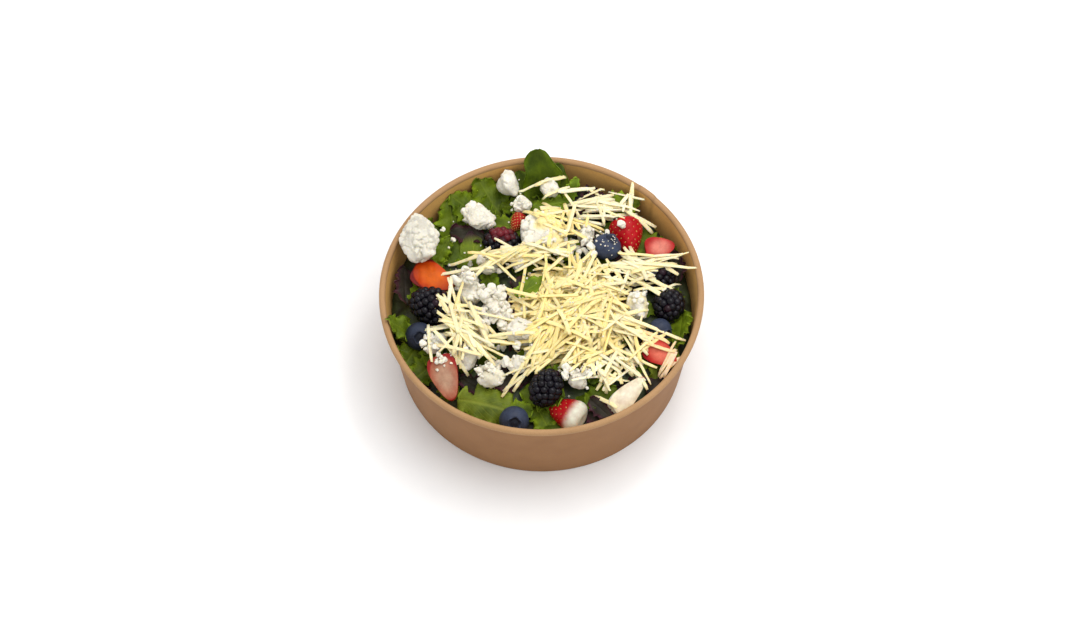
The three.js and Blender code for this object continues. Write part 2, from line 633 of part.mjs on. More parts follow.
// A crumb half sunk in the leaves, grown all round.
function crumbSolid({ at, size }, grow, clingTo) {
  const geometry = new THREE.IcosahedronGeometry(1, 0);
  reshape(geometry, (point) => point.multiplyScalar(1 + CRAG_DEPTH * lump(point, at[0])));
  const [width, height] = [size + grow, 0.8 * size + grow];
  const middle = [...at, topAt(clingTo, ...at) + size / 5];
  return toSolid(fitted(geometry, [width, width, height]).translate(...middle));
}

// What is left of a piece inside the bowl and beside the toppings.
function trimmed(piece) {
  const kept = piece.intersect(room).subtract(sockets);
  return kept.isEmpty() ? kept : largest(kept);
}

const toppings = Object.entries(TOPPINGS).flatMap(([kind, rows]) => rows.map((row) => ({ kind, ...row })));
const toppingMeshes = toppings.map(toppingMesh);
const sockets = joined(toppingMeshes.map((mesh, i) => socketSolid(mesh, toppings[i])));
const room = roomSolid();

const bowl = bowlGeometry();
const needle = toSolid(new THREE.BoxGeometry(0.2, 0.2, 4 * BOWL_HEIGHT));
const solidToppings = toppingMeshes.map(standing);
const fixed = joined([toSolid(bowl), ...solidToppings]).trimByPlane([0, 0, 1], HEAP_EDGE);
const heap = heapSolid().subtract(sockets);
const leaves = LEAVES.map((leaf) => trimmed(leafSolid(leaf, LEAF_THICKNESS)));
const leafyHeap = largest(joined([heap, ...leaves]));

const drift = driftSolid().subtract(sockets);
const driftLines = [...scatteredLines(), ...LONG_SHREDS.map(shortened)];
const underDrift = fixed.add(leafyHeap.trimByPlane([0, 0, 1], HEAP_EDGE));
const shreds = largest(joined([drift, ...laidShreds(driftLines, drift, underDrift)]));

const aboveLeaves = fixed.add(shreds);
const isClear = (crumb) => crumbSolid(crumb, 2 * GAP, leafyHeap).intersect(aboveLeaves).isEmpty();
const crumbs = CRUMBS.filter(isClear);
const leafCrumbs = crumbs.map((crumb) => crumbSolid(crumb, 0, leafyHeap));
const leafShreds = laidShreds(LEAF_SHREDS.map(shortened), leafyHeap, aboveLeaves);
const greens = largest(joined([leafyHeap, ...leafCrumbs, ...leafShreds]));

const salad = new THREE.Group();
salad.add(meshOf("bowl", bowl, KRAFT));
salad.add(meshOf("greens", toGeometry(greens), LEAF));
salad.add(meshOf("cheese_shreds", toGeometry(shreds), SHRED));
salad.add(...toppingMeshes);

export default salad;
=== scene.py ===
"""The bowl of berry feta salad, dressed over its CAD frame. Sizes in the tables are millimetres."""

import math

import bmesh
import bpy
import numpy as np
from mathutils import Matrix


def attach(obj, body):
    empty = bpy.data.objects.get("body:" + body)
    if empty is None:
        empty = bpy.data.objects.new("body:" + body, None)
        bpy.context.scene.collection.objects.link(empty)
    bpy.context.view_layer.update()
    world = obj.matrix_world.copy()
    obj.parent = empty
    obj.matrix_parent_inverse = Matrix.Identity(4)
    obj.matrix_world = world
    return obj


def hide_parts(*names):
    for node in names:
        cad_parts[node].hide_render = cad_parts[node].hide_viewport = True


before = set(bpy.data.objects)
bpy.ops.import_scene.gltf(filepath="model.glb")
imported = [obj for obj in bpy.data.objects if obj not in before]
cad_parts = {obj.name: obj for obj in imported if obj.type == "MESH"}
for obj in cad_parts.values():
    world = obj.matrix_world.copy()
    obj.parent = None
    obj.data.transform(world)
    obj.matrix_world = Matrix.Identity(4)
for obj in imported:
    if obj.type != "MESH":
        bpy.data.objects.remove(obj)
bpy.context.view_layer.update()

MM = 0.001
GOLDEN = math.pi * (3 - math.sqrt(5))

# The bowl, as in the CAD.
RIM_RADIUS = 75.0
BOWL_HEIGHT = 50.2
FOOT_RADIUS = 67.0
BOARD = 0.9
BEAD = 1.5
FOOT_WIDTH = 1.8
RECESS = 4.5
SEAM_ANGLE = 44.0
SEAM_WIDTH = 7.0
SEAM_STEP = 0.35

# The heap of leaves, as in the CAD.
HEAP_EDGE = 33.0
HEAP_CROWN = 41.8
HEAP_RADIUS = 70.5
HEAP_FALL = 5

# Every berry and crumb: node, kind, middle, size, and roll, pitch and heading in degrees.
TOPPINGS = [
    ("bramble_left", "bramble", (-49.5, -4.6, 44), (24, 18, 17), (0, 4, -22)),
    ("bramble_back", "bramble", (-18.6, 30.5, 43.5), (18, 15, 14), (0, 0, -8)),
    ("bramble_right", "bramble", (58.6, -2.5, 42.5), (16, 15, 15), (0, 10, 80)),
    ("bramble_right_back", "bramble", (54.8, 12.2, 41.5), (15, 13, 13), (0, 0, 20)),
    ("bramble_front", "bramble", (2, -48.8, 46.8), (18.5, 15, 14), (0, -12, 62)),
    ("bramble_inner", "bramble", (38.2, 15.6, 43), (10.5, 9.5, 9), (0, 0, 30)),
    ("bramble_small", "bramble", (43.8, -20.4, 42.8), (7.6, 7, 7), (0, 0, -20)),
    ("blueberry_back", "blueberry", (30.4, 25.8, 47.5), (13.4, 12.8, 12), (-20, 20, 0)),
    ("blueberry_left", "blueberry", (-56, -19.2, 42.2), (13.2, 13, 12.4), (36, 6, 0)),
    ("blueberry_front", "blueberry", (-12.5, -62.4, 40.6), (13.6, 13.4, 12.6), (42, 4, 0)),
    ("blueberry_right", "blueberry", (54.4, -15.6, 41.5), (11, 11, 10.4), (70, 10, 40)),
    ("blueberry_small", "blueberry", (23.2, -38.6, 45), (8, 8, 7.4), (30, -40, 0)),
    ("strawberry_left", "half", (-49.6, 12, 40.6), (21, 14, 9), (14, 4, -27)),
    ("strawberry_back", "strawberry", (-11.4, 41.2, 43.6), (9.5, 8, 8), (0, 10, -120)),
    ("strawberry_right_back", "strawberry", (40.2, 34.6, 42), (18, 16, 13), (0, 10, -78)),
    ("strawberry_slice", "half", (55, 28.6, 42), (14, 11, 6.5), (28, 0, 12)),
    ("strawberry_pale", "half", (-43, -42, 42), (22, 13.5, 9), (14, 14, -71)),
    ("strawberry_front", "strawberry", (10.8, -57.6, 39.4), (18, 15.5, 12.5), (0, 6, 149)),
    ("strawberry_wedge", "half", (38.3, -49.9, 42.5), (22, 10, 8.5), (30, 0, 49)),
    ("strawberry_right", "half", (55.4, -28.8, 41.8), (17, 12, 7.5), (26, 0, -38)),
    ("feta_rim", "feta", (-55.9, 27.8, 52.85), (19, 25.5, 14.5), (-6, -16, 8)),
    ("feta_back_left", "feta", (-29.4, 43.4, 45.5), (18, 12, 10), (10, 6, -25)),
    ("feta_back", "feta", (-15.8, 61.2, 46.6), (10.5, 14, 11), (0, 0, 30)),
    ("feta_back_right", "feta", (3.7, 58.2, 47.2), (8.5, 8.5, 10.5), (0, 0, 10)),
    ("feta_crown", "feta", (1.2, 33.2, 48.5), (21.5, 24, 11), (6, 0, 10)),
    ("feta_right", "feta", (44, -4.6, 45.5), (10, 17, 10.5), (0, 0, 12)),
    ("feta_middle", "feta", (-21, -8, 47), (14, 13, 10), (0, 0, 50)),
    ("feta_middle_front", "feta", (-8.6, -20.4, 47.5), (16, 13, 10), (0, 0, 20)),
    ("feta_left", "feta", (-33, 2.4, 45.5), (10.5, 15, 9), (0, 0, 10)),
    ("feta_front", "feta", (-22.8, -42.6, 45), (13, 9, 8), (0, 0, 8)),
    ("feta_front_middle", "feta", (-10.6, -36.4, 46), (10, 9, 8.5), (0, 0, 40)),
    ("feta_front_left", "feta", (-33.5, -31, 44.5), (9, 14, 8), (0, 0, -8)),
    ("feta_left_front", "feta", (-48.4, -25.4, 45.2), (14, 7, 7), (0, 0, 50)),
    ("feta_inner", "feta", (-24, 16.6, 44.5), (7.5, 7, 6.5), (0, 0, 0)),
    ("feta_inner_back", "feta", (-10.4, 18.4, 46), (8, 7, 7), (0, 0, 60)),
    ("feta_back_inner", "feta", (20.4, 33, 46), (8, 9, 8), (0, 0, 0)),
    ("feta_low", "feta", (16.4, -44.6, 45.5), (8.5, 7.5, 7), (0, 0, -30)),
    ("feta_back_middle", "feta", (-8.8, 50.2, 45.6), (9.5, 8, 7), (0, 0, -15)),
]

# The leaves that show: middle, length, width, heading, pitch, roll, bend, cup, ruffle, waves, kind.
LEAVES = [
    ((0.5, 63.2, 49), 27.5, 20, 91, 53, 0, -14, 0.1, 0.7, 2, "tall"),
    ((-7.5, 61.5, 43), 17, 13, 122, 25, 0, 10, -0.1, 0.8, 2, "smooth"),
    ((7.8, 62.4, 46), 17, 11, 66, 36, 10, -20, 0.1, 0.6, 2, "tall"),
    ((-24.6, 56.8, 40.5), 24, 18, 125, 20, 8, 20, 0.1, 2.2, 4, "frilly"),
    ((-34.4, 51.6, 40), 22, 16, 152, 22, -10, 20, 0.1, 2, 4, "frilly"),
    ((-42, 44.4, 39), 23, 15, 100, 16, 20, 10, 0, 2, 3, "frilly"),
    ((-42.4, 31, 40.5), 22, 15, 78, -8, -10, -30, -0.35, 0.4, 2, "smooth"),
    ((-31.6, 27, 41.5), 22, 13, 97, 12, 4, -40, -0.2, 0.6, 2, "ribbed"),
    ((36.2, 51.4, 43), 20, 13, 6, 10, 26, -12, -0.2, 1, 2, "fresh"),
    ((14.4, 59.6, 44), 12, 6, 62, 36, 10, -40, 0.4, 0.8, 2, "bright"),
    ((64, -14, 40), 20, 12, -98, 4, 44, 10, 0.1, 1.6, 4, "frilly"),
    ((-64.8, -16.2, 45.2), 19, 11, 172, 40, 6, -10, 0.1, 1.2, 3, "frilly"),
    ((-60.4, -28, 38.5), 20, 14, -118, 2, -24, 10, 0, 2, 4, "frilly"),
    ((-54, -35.4, 38), 19, 13, -135, 2, -16, 16, 0, 1.4, 3, "frilly"),
    ((-24, -54.6, 41), 30, 22, -14, -4, 14, -50, -0.36, 2.3, 4, "pale"),
    ((1, -60.6, 38), 17, 11, -62, -4, 0, 0, 0.1, 1.4, 3, "frilly"),
    ((27, -49.6, 41), 16, 11, 28, 4, 8, 10, 0, 1.8, 3, "frilly"),
    ((21.6, 55.4, 41), 20, 13, 4, 4, 20, -12, -0.1, 1.8, 4, "dark"),
    ((-63.4, 10, 39.6), 20, 11, 94, 6, 34, 0, 0.1, 1, 2, "dark"),
    ((25.6, -58.6, 38.6), 20, 10, -52, -4, 10, -10, 0, 0.8, 2, "dark"),
    ((-56.6, -44, 36.2), 20, 11, -48, 0, -20, 0, 0.1, 1.2, 3, "dark"),
    ((61.6, 22, 37.6), 17, 11, 104, 6, -26, 0, 0, 1.4, 3, "dark"),
    ((54.4, -40.4, 37.6), 17, 11, 50, 2, -16, 0, 0, 1.2, 3, "dark"),
    ((-53.6, 40.6, 37.6), 20, 14, 132, 8, 10, 0, 0, 1.6, 3, "frilly"),
    ((-4.4, 4.6, 46.6), 17, 10, 30, 6, -8, -30, 0.2, 0.7, 2, "bright"),
    ((11.4, -2.4, 47.4), 15, 8, -60, 4, 10, -20, 0.2, 0.7, 2, "bright"),
    ((5.6, -40.4, 44.6), 14, 8, 20, 4, 0, -20, 0.1, 1.0, 3, "bright"),
    ((26, -38, 44.5), 15, 7, 60, 6, 20, -20, 0.1, 1.0, 3, "bright"),
    ((4.5, 51.5, 43.6), 17, 11, 12, 6, -6, -20, -0.1, 1.2, 3, "bright"),
    ((-46, 27, 43.4), 14, 8, 60, 14, 20, -20, 0.1, 1.6, 3, "fresh"),
    ((24, 52.5, 44), 17, 10, 20, 6, 14, -20, -0.1, 1.6, 4, "dark"),
    ((27, -57.5, 42.6), 15, 8, -46, 0, 22, -10, 0.1, 0.8, 2, "dark"),
]
LEAF_THICKNESS = 0.5
LEAF_STEM = 0.1  # width at the stem, of the full width
LEAF_GRID = (30, 16)  # points along and across
FILLER_COUNT = 64
FILLER_REACH = 66

# Where the shreds lie: middle, spread, count, heading and its spread, lengths, and paleness.
SHRED_CLUSTERS = [
    ((13, -4), (18, 16), 270, (0, 180), (11, 25), 0.15),
    ((14, -16), (17, 9), 90, (44, 44), (15, 28), 0.0),
    ((12, -31), (15, 5), 54, (38, 50), (13, 25), 0.15),
    ((-37, -17), (8, 13), 54, (-66, 34), (13, 27), 0.6),
    ((-27, -26), (12, 7), 24, (-12, 42), (14, 26), 0.45),
    ((-10, -40), (12, 6), 26, (42, 34), (13, 24), 0.35),
    ((-14, 2), (11, 10), 24, (20, 60), (13, 24), 0.35),
    ((46, 14), (14, 10), 60, (-5, 45), (12, 24), 0.6),
    ((56, 4), (7, 12), 14, (80, 40), (9, 17), 0.8),
    ((8, 57), (9, 4), 5, (20, 12), (14, 20), 0.7),
    ((27, 49), (14, 6), 24, (-12, 36), (13, 23), 0.75),
    ((42, 49), (4, 4), 7, (74, 26), (8, 14), 0.8),
    ((6, 38), (13, 9), 40, (20, 180), (8, 17), 0.15),
    ((-10, 21), (18, 5), 44, (8, 30), (12, 25), 0.35),
    ((37, -15), (14, 14), 68, (-20, 70), (12, 24), 0.4),
    ((34, -38), (12, 10), 30, (120, 50), (10, 22), 0.7),
    ((60, -34), (5, 7), 9, (70, 50), (8, 14), 0.9),
]
SHRED_LINES = [
    ((33, -10.5), (72, -12.5)),
    ((36, -13), (66, -21.5)),
    ((38, 17), (72, 13)),
    ((-22, 11.5), (-50, 12.5)),
    ((-12, -16), (-40, -12)),
    ((12, 30), (16, 52)),
    ((-44, -12), (-26, -22)),
    ((-42, -6), (-38, -24)),
    ((-36, -14), (-40, -34)),
    ((24, -50), (34, -60)),
    ((12, 50), (34, 56)),
    ((40, 45), (52, 38)),
    ((-52, -16), (-50, -36)),
]
SHRED_WIDTH = (1.15, 2.0)
SHRED_HEIGHT = (0.45, 0.68)
SHRED_STEPS = 9  # points along a shred
# The corners of a shred's section, of half its width and height.
SHRED_SECTION = [
    (-1, -0.5), (-0.7, -1), (0.7, -1), (1, -0.5), (1, 0.5), (0.7, 1), (-0.7, 1), (-1, 0.5),
]
SHRED_REACH = 73.4  # no shred goes farther out
SHRED_TOP = 59.5  # or higher
# Leaves show through the drift at these places: middle and radius.
LEAF_HOLES = [((-4.4, 4.8), 4.4), ((11.4, -2.2), 3.2), ((6, -40), 4.0)]
# And these toppings lie nearly bare.
BARE_PLACES = [
    ((-3, 31), 6.5), ((-20, -7), 8.0), ((-31, 4), 6.0), ((-9, -18), 6.5), ((-11, -36), 4.5),
    ((-33, -31), 4.0),
    ((-23, -43), 5.0), ((45, -4), 8.5), ((39, 34), 8.0), ((55, 28), 5.0), ((30, 25.5), 6.5), ((-10, 49), 4.0),
    ((-29, 43), 7.0), ((2, -49), 7.5), ((59, -4), 6.0), ((-15, 31), 6.0), ((-45, -42), 6.0), ((38, -51), 7.0),
    ((-4, 52), 5.0), ((-52, -3), 7.0), ((55, 11), 5.0),
]

# The matted middle of the drift, as in the CAD.
DRIFT_MIDDLE = (11, -8)
DRIFT_REACH = (31, 27)
DRIFT_DEPTH = 4.6

# Where small crumbs of feta lie: middle, spread, count and sizes.
CRUMB_CLUSTERS = [
    ((-34, 8), (5, 6), 20, (2.0, 6.6)),
    ((-24, -3), (7, 7), 34, (1.6, 6.6)),
    ((-20, -14), (10, 6), 34, (1.6, 6.4)),
    ((-8, -26), (10, 5), 22, (1.4, 6.0)),
    ((-32, -28), (7, 9), 22, (1.4, 6.2)),
    ((-20, -38), (10, 5), 24, (1.4, 6.0)),
    ((-50, -25), (6, 5), 20, (1.2, 4.4)),
    ((-42, -33), (4, 4), 8, (1.4, 4.2)),
    ((-46, -36.5), (3, 2.6), 8, (1.2, 3.2)),
    ((-44, 30), (3, 3), 5, (1.0, 3.8)),
    ((-40, 16), (7, 6), 9, (0.7, 2.0)),
    ((-22, 17), (11, 5), 26, (1.2, 5.0)),
    ((-9, 50), (5, 3), 8, (1.4, 3.6)),
    ((10, 24), (12, 6), 30, (1.2, 5.4)),
    ((22, 31), (7, 6), 22, (1.2, 4.6)),
    ((37, 36), (0.8, 0.8), 3, (2.4, 4.4)),
    ((45, 4), (5, 9), 18, (1.2, 4.4)),
    ((66, -3.5), (0.8, 1.2), 3, (1.6, 2.8)),
    ((31, 25), (4, 4), 16, (0.5, 1.0)),
    ((14, -43), (12, 5), 34, (1.2, 5.4)),
    ((8, -8), (24, 18), 36, (1.0, 3.0)),
]
CRUMB_DUST = 150  # of the finest crumbs
CRUMB_REACH = 67  # no crumb lies farther out

GRID_STEP = 0.6  # of the map of heights that loose things are laid on
GRID_REACH = 78.0

# The colour of each thing before its material adds detail.
OUTER_TINT = (0.282, 0.138, 0.055)
# The bead is the same board as the wall, given a lighter tint as a painted highlight along the rim roll.
BEAD_HIGHLIGHT_TINT = (0.39, 0.228, 0.108)
# The inside of the board is given a much lighter tint than the outside, as painted light bouncing inside the
# bowl.
INNER_LIT_TINT = (0.65, 0.37, 0.118)
# The core is far darker than any leaf, as painted shade deep in the heap.
CORE_SHADE_TINT = (0.03, 0.045, 0.012)
MAT_TINT = (0.82, 0.68, 0.32)
BRAMBLE_TINT = (0.0022, 0.0024, 0.0044)
UNRIPE_TINT = (0.16, 0.012, 0.018)
BLUEBERRY_TINT = (0.016, 0.021, 0.040)
WHITE_END_TINT = (0.62, 0.60, 0.49)
SEED_TINT = (0.5, 0.3, 0.08)
FETA_TINT = (0.8, 0.765, 0.67)
STAIN_TINT = (0.78, 0.66, 0.32)
YELLOW_TINT = (0.84, 0.69, 0.29)
CREAM_TINT = (0.83, 0.785, 0.58)

# The camera that took the photograph: degrees and millimetres.
CAMERA_ELEVATION = 59.45
CAMERA_DISTANCE = 1500.0
CAMERA_AIM = (-0.73, 0, 34.8)
CAMERA_LENS = 107.85
CAMERA_SENSOR = 36

# The lamps: name, place and size in metres, power in watts, and colour.
LAMPS = [
    ("key", (0.16, 0.2, 1.08), 1.1, 7.0, (1.0, 0.99, 0.97)),
    ("fill", (0.5, -0.1, 0.85), 0.8, 1.5, (1.0, 0.99, 0.98)),
    ("glint", (0.24, 0.34, 0.95), 0.13, 0.75, (1.0, 1.0, 1.0)),
]
SKY_STRENGTH = 0.86
FLOOR_HALF = 3.0  # in metres
FLOOR_LEVEL = -0.0002


def rotation(turn):
    """The matrix of a roll, a pitch and a heading in degrees, applied in that order."""
    roll, pitch, heading = np.radians(turn)
    cr, sr, cp, sp = math.cos(roll), math.sin(roll), math.cos(pitch), math.sin(pitch)
    ch, sh = math.cos(heading), math.sin(heading)
    about_x = np.array([[1, 0, 0], [0, cr, -sr], [0, sr, cr]])
    about_y = np.array([[cp, 0, sp], [0, 1, 0], [-sp, 0, cp]])
    about_z = np.array([[ch, -sh, 0], [sh, ch, 0], [0, 0, 1]])
    return about_z @ about_y @ about_x


def placed(points, turn, middle):
    return points @ rotation(turn).T + np.array(middle, float)


def smooth(values, low, high):
    """0 below low, 1 above high, and an even rise between them."""
    share = np.clip((values - low) / (high - low), 0, 1)
    return share * share * (3 - 2 * share)


def lump(points, seed):
    """The CAD's uneven value from -1 to 1 at each point."""
    x, y, z = points[:, 0], points[:, 1], points[:, 2]
    first = np.sin(2.3 * x + 1.7 * y - 1.1 * z + seed * 1.9)
    second = np.sin(-1.6 * x + 2.9 * y + 2.2 * z + seed * 4.3)
    third = np.sin(3.7 * x - 2.1 * y + 3.9 * z + seed * 7.7)
    return (first + second + third) / 3


def ripple(points, pitch, seed):
    """A finer uneven value whose bumps are about as far apart as pitch."""
    rng = np.random.default_rng(seed)
    total = np.zeros(len(points))
    for _ in range(7):
        way = rng.normal(size=3)
        way *= 2 * math.pi / pitch * rng.uniform(0.6, 1.5) / np.linalg.norm(way)
        total += np.sin(points @ way + rng.uniform(0, 2 * math.pi))
    return total / 4


def fitted(points, size):
    low, high = points.min(0), points.max(0)
    return (points - (low + high) / 2) * np.array(size) / (high - low)


class Batch:
    """Gathers pieces of mesh, with a colour for each vertex, into one object."""

    def __init__(self):
        self.points, self.faces, self.colours, self.marks, self.slots = [], [], [], [], []
        self.count = 0

    def add(self, points, faces, colour, marks=None, slot=0):
        """faces is one array or a list of arrays, with three or four corners to a face."""
        points = np.asarray(points, float)
        colour = np.broadcast_to(np.asarray(colour, float), (len(points), 3))
        marks = np.zeros((len(points), 3)) if marks is None else marks
        for some in faces if isinstance(faces, list) else [faces]:
            self.faces.append(np.asarray(some) + self.count)
            self.slots.append(np.full(len(some), slot))
        self.points.append(points)
        self.colours.append(colour)
        self.marks.append(marks)
        self.count += len(points)

    def build(self, name, materials, slot, nodes=()):
        mesh = bpy.data.meshes.new(name)
        points = np.concatenate(self.points) * MM
        corners = np.concatenate([some.ravel() for some in self.faces])
        sizes = np.concatenate([np.full(len(some), some.shape[1]) for some in self.faces])
        starts = np.concatenate([[0], np.cumsum(sizes)[:-1]])
        mesh.vertices.add(len(points))
        mesh.vertices.foreach_set("co", points.ravel())
        mesh.loops.add(len(corners))
        mesh.loops.foreach_set("vertex_index", corners)
        mesh.polygons.add(len(sizes))
        mesh.polygons.foreach_set("loop_start", starts)
        mesh.polygons.foreach_set("loop_total", sizes)
        mesh.polygons.foreach_set("material_index", np.concatenate(self.slots))
        mesh.polygons.foreach_set("use_smooth", np.ones(len(sizes), bool))
        for key, values in (("tint", self.colours), ("mark", self.marks)):
            layer = mesh.attributes.new(key, "FLOAT_VECTOR", "POINT")
            layer.data.foreach_set("vector", np.concatenate(values).ravel())
        mesh.update(calc_edges=True)
        mesh.validate()
        for material in materials:
            mesh.materials.append(material)
        obj = bpy.data.objects.new(name, mesh)
        bpy.context.collection.objects.link(obj)
        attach(obj, "root")
        if nodes:
            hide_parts(*nodes)
        return obj


def sphere(detail):
    """Points and triangles of a unit ball."""
    shell = bmesh.new()
    bmesh.ops.create_icosphere(shell, subdivisions=detail, radius=1)
    points = np.array([v.co[:] for v in shell.verts])
    faces = np.array([[v.index for v in f.verts] for f in shell.faces])
    shell.free()
    return points / np.linalg.norm(points, axis=1)[:, None], faces


BALLS = {detail: sphere(detail) for detail in (1, 2, 3, 4, 5, 6)}


def grid_faces(rows, columns, closed):
    """Quads between rows of points. A closed grid joins its last column to its first."""
    quads = []
    wide = columns if closed else columns - 1
    for row in range(rows - 1):
        side = np.arange(wide)
        here, there = row * columns, (row + 1) * columns
        beside = (side + 1) % columns
        quads.append(np.stack([here + side, here + beside, there + beside, there + side], 1))
    return np.concatenate(quads)


# --- Materials -----------------------------------------------------------------------------


class Nodes:
    """A short way to write a material's nodes."""

    def __init__(self, name):
        self.material = bpy.data.materials.new(name)
        self.material.use_nodes = True
        self.tree = self.material.node_tree
        self.shader = self.tree.nodes["Principled BSDF"]

    def node(self, kind, inputs=None, **settings):
        made = self.tree.nodes.new(kind)
        for key, value in settings.items():
            setattr(made, key, value)
        for key, value in (inputs or {}).items():
            self.put(made.inputs[key], value)
        return made

    def put(self, socket, value):
        if isinstance(value, bpy.types.NodeSocket):
            self.tree.links.new(value, socket)
        else:
            socket.default_value = value

    def attribute(self, name):
        return self.node("ShaderNodeAttribute", attribute_name=name).outputs["Vector"]

    def place(self):
        return self.node("ShaderNodeTexCoord").outputs["Object"]

    def noise(self, scale, detail=3.0, rough=0.55, stretch=None):
        spot = self.place()
        if stretch:
            spot = self.node("ShaderNodeMapping", {"Vector": spot, "Scale": stretch}).outputs["Vector"]
        made = self.node(
            "ShaderNodeTexNoise", {"Vector": spot, "Scale": scale, "Detail": detail, "Roughness": rough}
        )
        return made.outputs["Fac"]

    def ramp(self, value, low, high, start, end):
        return self.node(
            "ShaderNodeMapRange",
            {"Value": value, "From Min": low, "From Max": high, "To Min": start, "To Max": end},
        ).outputs["Result"]

    def mix(self, share, first, second, blend="MIX"):
        made = self.node("ShaderNodeMix", data_type="RGBA", blend_type=blend)
        self.put(made.inputs["Factor"], share)
        self.put(made.inputs[6], first)
        self.put(made.inputs[7], second)
        return made.outputs[2]

    def shade(self, value, low, high, dark, light):
        """A colour from dark to light as a value goes from low to high."""
        return self.mix(self.ramp(value, low, high, 0, 1), (*dark, 1), (*light, 1))

    def tinted(self, *shades):
        """The colour that the mesh holds, times each shade."""
        colour = self.attribute("tint")
        for shade in shades:
            colour = self.mix(1.0, colour, shade, "MULTIPLY")
        return colour

    def maths(self, operation, *values):
        made = self.node("ShaderNodeMath", operation=operation)
        for socket, value in zip(made.inputs, values):
            self.put(socket, value)
        return made.outputs["Value"]

    def bump(self, height, strength, distance):
        made = self.node(
            "ShaderNodeBump", {"Height": height, "Strength": strength, "Distance": distance * MM}
        )
        self.put(self.shader.inputs["Normal"], made.outputs["Normal"])

    def finish(self, colour, roughness, **constants):
        self.put(self.shader.inputs["Base Color"], colour)
        self.put(self.shader.inputs["Roughness"], roughness)
        for key, value in constants.items():
            self.shader.inputs[key.replace("_", " ")].default_value = value
        return self.material


def kraft_material():
    nodes = Nodes("kraft_board")
    fibres = nodes.noise(2600, 4, 0.6, (1, 1, 0.35))
    clouds = nodes.noise(90, 3, 0.5)
    specks = nodes.noise(5200, 2, 0.7)
    streaks = nodes.shade(fibres, 0.3, 0.7, (0.88, 0.86, 0.84), (1.07, 1.07, 1.06))
    mottle = nodes.shade(clouds, 0.35, 0.65, (0.94, 0.93, 0.92), (1.03, 1.03, 1.03))
    dots = nodes.ramp(specks, 0.66, 0.74, 0, 0.35)
    colour = nodes.mix(dots, nodes.tinted(streaks, mottle), (0.16, 0.08, 0.035, 1))
    nodes.bump(fibres, 0.35, 0.05)
    return nodes.finish(colour, nodes.ramp(fibres, 0.3, 0.7, 0.55, 0.72), Specular_IOR_Level=0.22)


def leaf_material():
    """mark holds how far along the leaf a point is, how far across, and how strong its veins are."""
    nodes = Nodes("leaf")
    along, across, veined = nodes.node(
        "ShaderNodeSeparateXYZ", {"Vector": nodes.attribute("mark")}
    ).outputs[:3]
    wide = nodes.maths("ABSOLUTE", across)
    rib = nodes.ramp(wide, 0.03, 0.1, 1, 0)
    rows = nodes.maths("MULTIPLY", along, 44.0)
    lines = nodes.maths("SINE", nodes.maths("MULTIPLY_ADD", wide, -26.0, rows))
    side_veins = nodes.ramp(lines, 0.88, 1.0, 0, 0.75)
    veins = nodes.maths("MULTIPLY", nodes.maths("MAXIMUM", rib, side_veins), veined)
    crinkle = nodes.noise(420, 4, 0.6)
    patches = nodes.noise(130, 3, 0.55)
    blade = nodes.tinted(nodes.shade(patches, 0.3, 0.7, (0.55, 0.60, 0.5), (1.5, 1.42, 1.3)))
    pale = nodes.tinted((2.1, 1.8, 2.6, 1))
    colour = nodes.mix(nodes.maths("MULTIPLY", veins, 0.5), blade, pale)
    height = nodes.maths("MULTIPLY_ADD", veins, -0.6, crinkle)
    nodes.bump(height, 0.6, 0.5)
    return nodes.finish(
        colour,
        nodes.ramp(crinkle, 0.3, 0.7, 0.42, 0.62),
        Specular_IOR_Level=0.14,
        Subsurface_Weight=0.12,
        Subsurface_Radius=(0.0006, 0.001, 0.0003),
    )


def cheese_material(name, roughness, grain, depth, glow):
    """glow is how much of the light passes under the surface."""
    nodes = Nodes(name)
    curds = nodes.noise(grain, 4, 0.6)
    nodes.bump(curds, 0.5, depth)
    return nodes.finish(
        nodes.tinted(nodes.shade(curds, 0.28, 0.62, (0.93, 0.91, 0.86), (1.02, 1.02, 1.01))),
        roughness,
        Specular_IOR_Level=0.3,
        Subsurface_Weight=glow,
        Subsurface_Radius=(0.0024, 0.0019, 0.0011),
    )


def berry_material():
    nodes = Nodes("bramble_skin")
    mottle = nodes.noise(500, 2, 0.5)
    dark = nodes.ramp(mottle, 0.35, 0.7, 0, 0.3)
    colour = nodes.mix(dark, nodes.tinted(), (0.016, 0.006, 0.014, 1))
    nodes.bump(mottle, 0.15, 0.15)
    return nodes.finish(colour, nodes.ramp(mottle, 0.3, 0.7, 0.14, 0.24), Specular_IOR_Level=0.2)


def bloom_material():
    """A dark skin under a pale bloom, which is rubbed away in places."""
    nodes = Nodes("blueberry_skin")
    patches = nodes.noise(190, 4, 0.65)
    specks = nodes.noise(1900, 3, 0.6)
    powder = nodes.ramp(specks, 0.3, 0.6, 0.5, 1)
    bloom = nodes.maths("MULTIPLY", nodes.ramp(patches, 0.36, 0.62, 0.15, 0.9), powder)
    colour = nodes.mix(bloom, nodes.tinted(), nodes.tinted((2.5, 2.5, 2.3, 1)))
    nodes.bump(specks, 0.2, 0.08)
    return nodes.finish(colour, nodes.ramp(bloom, 0, 1, 0.34, 0.66), Specular_IOR_Level=0.2)


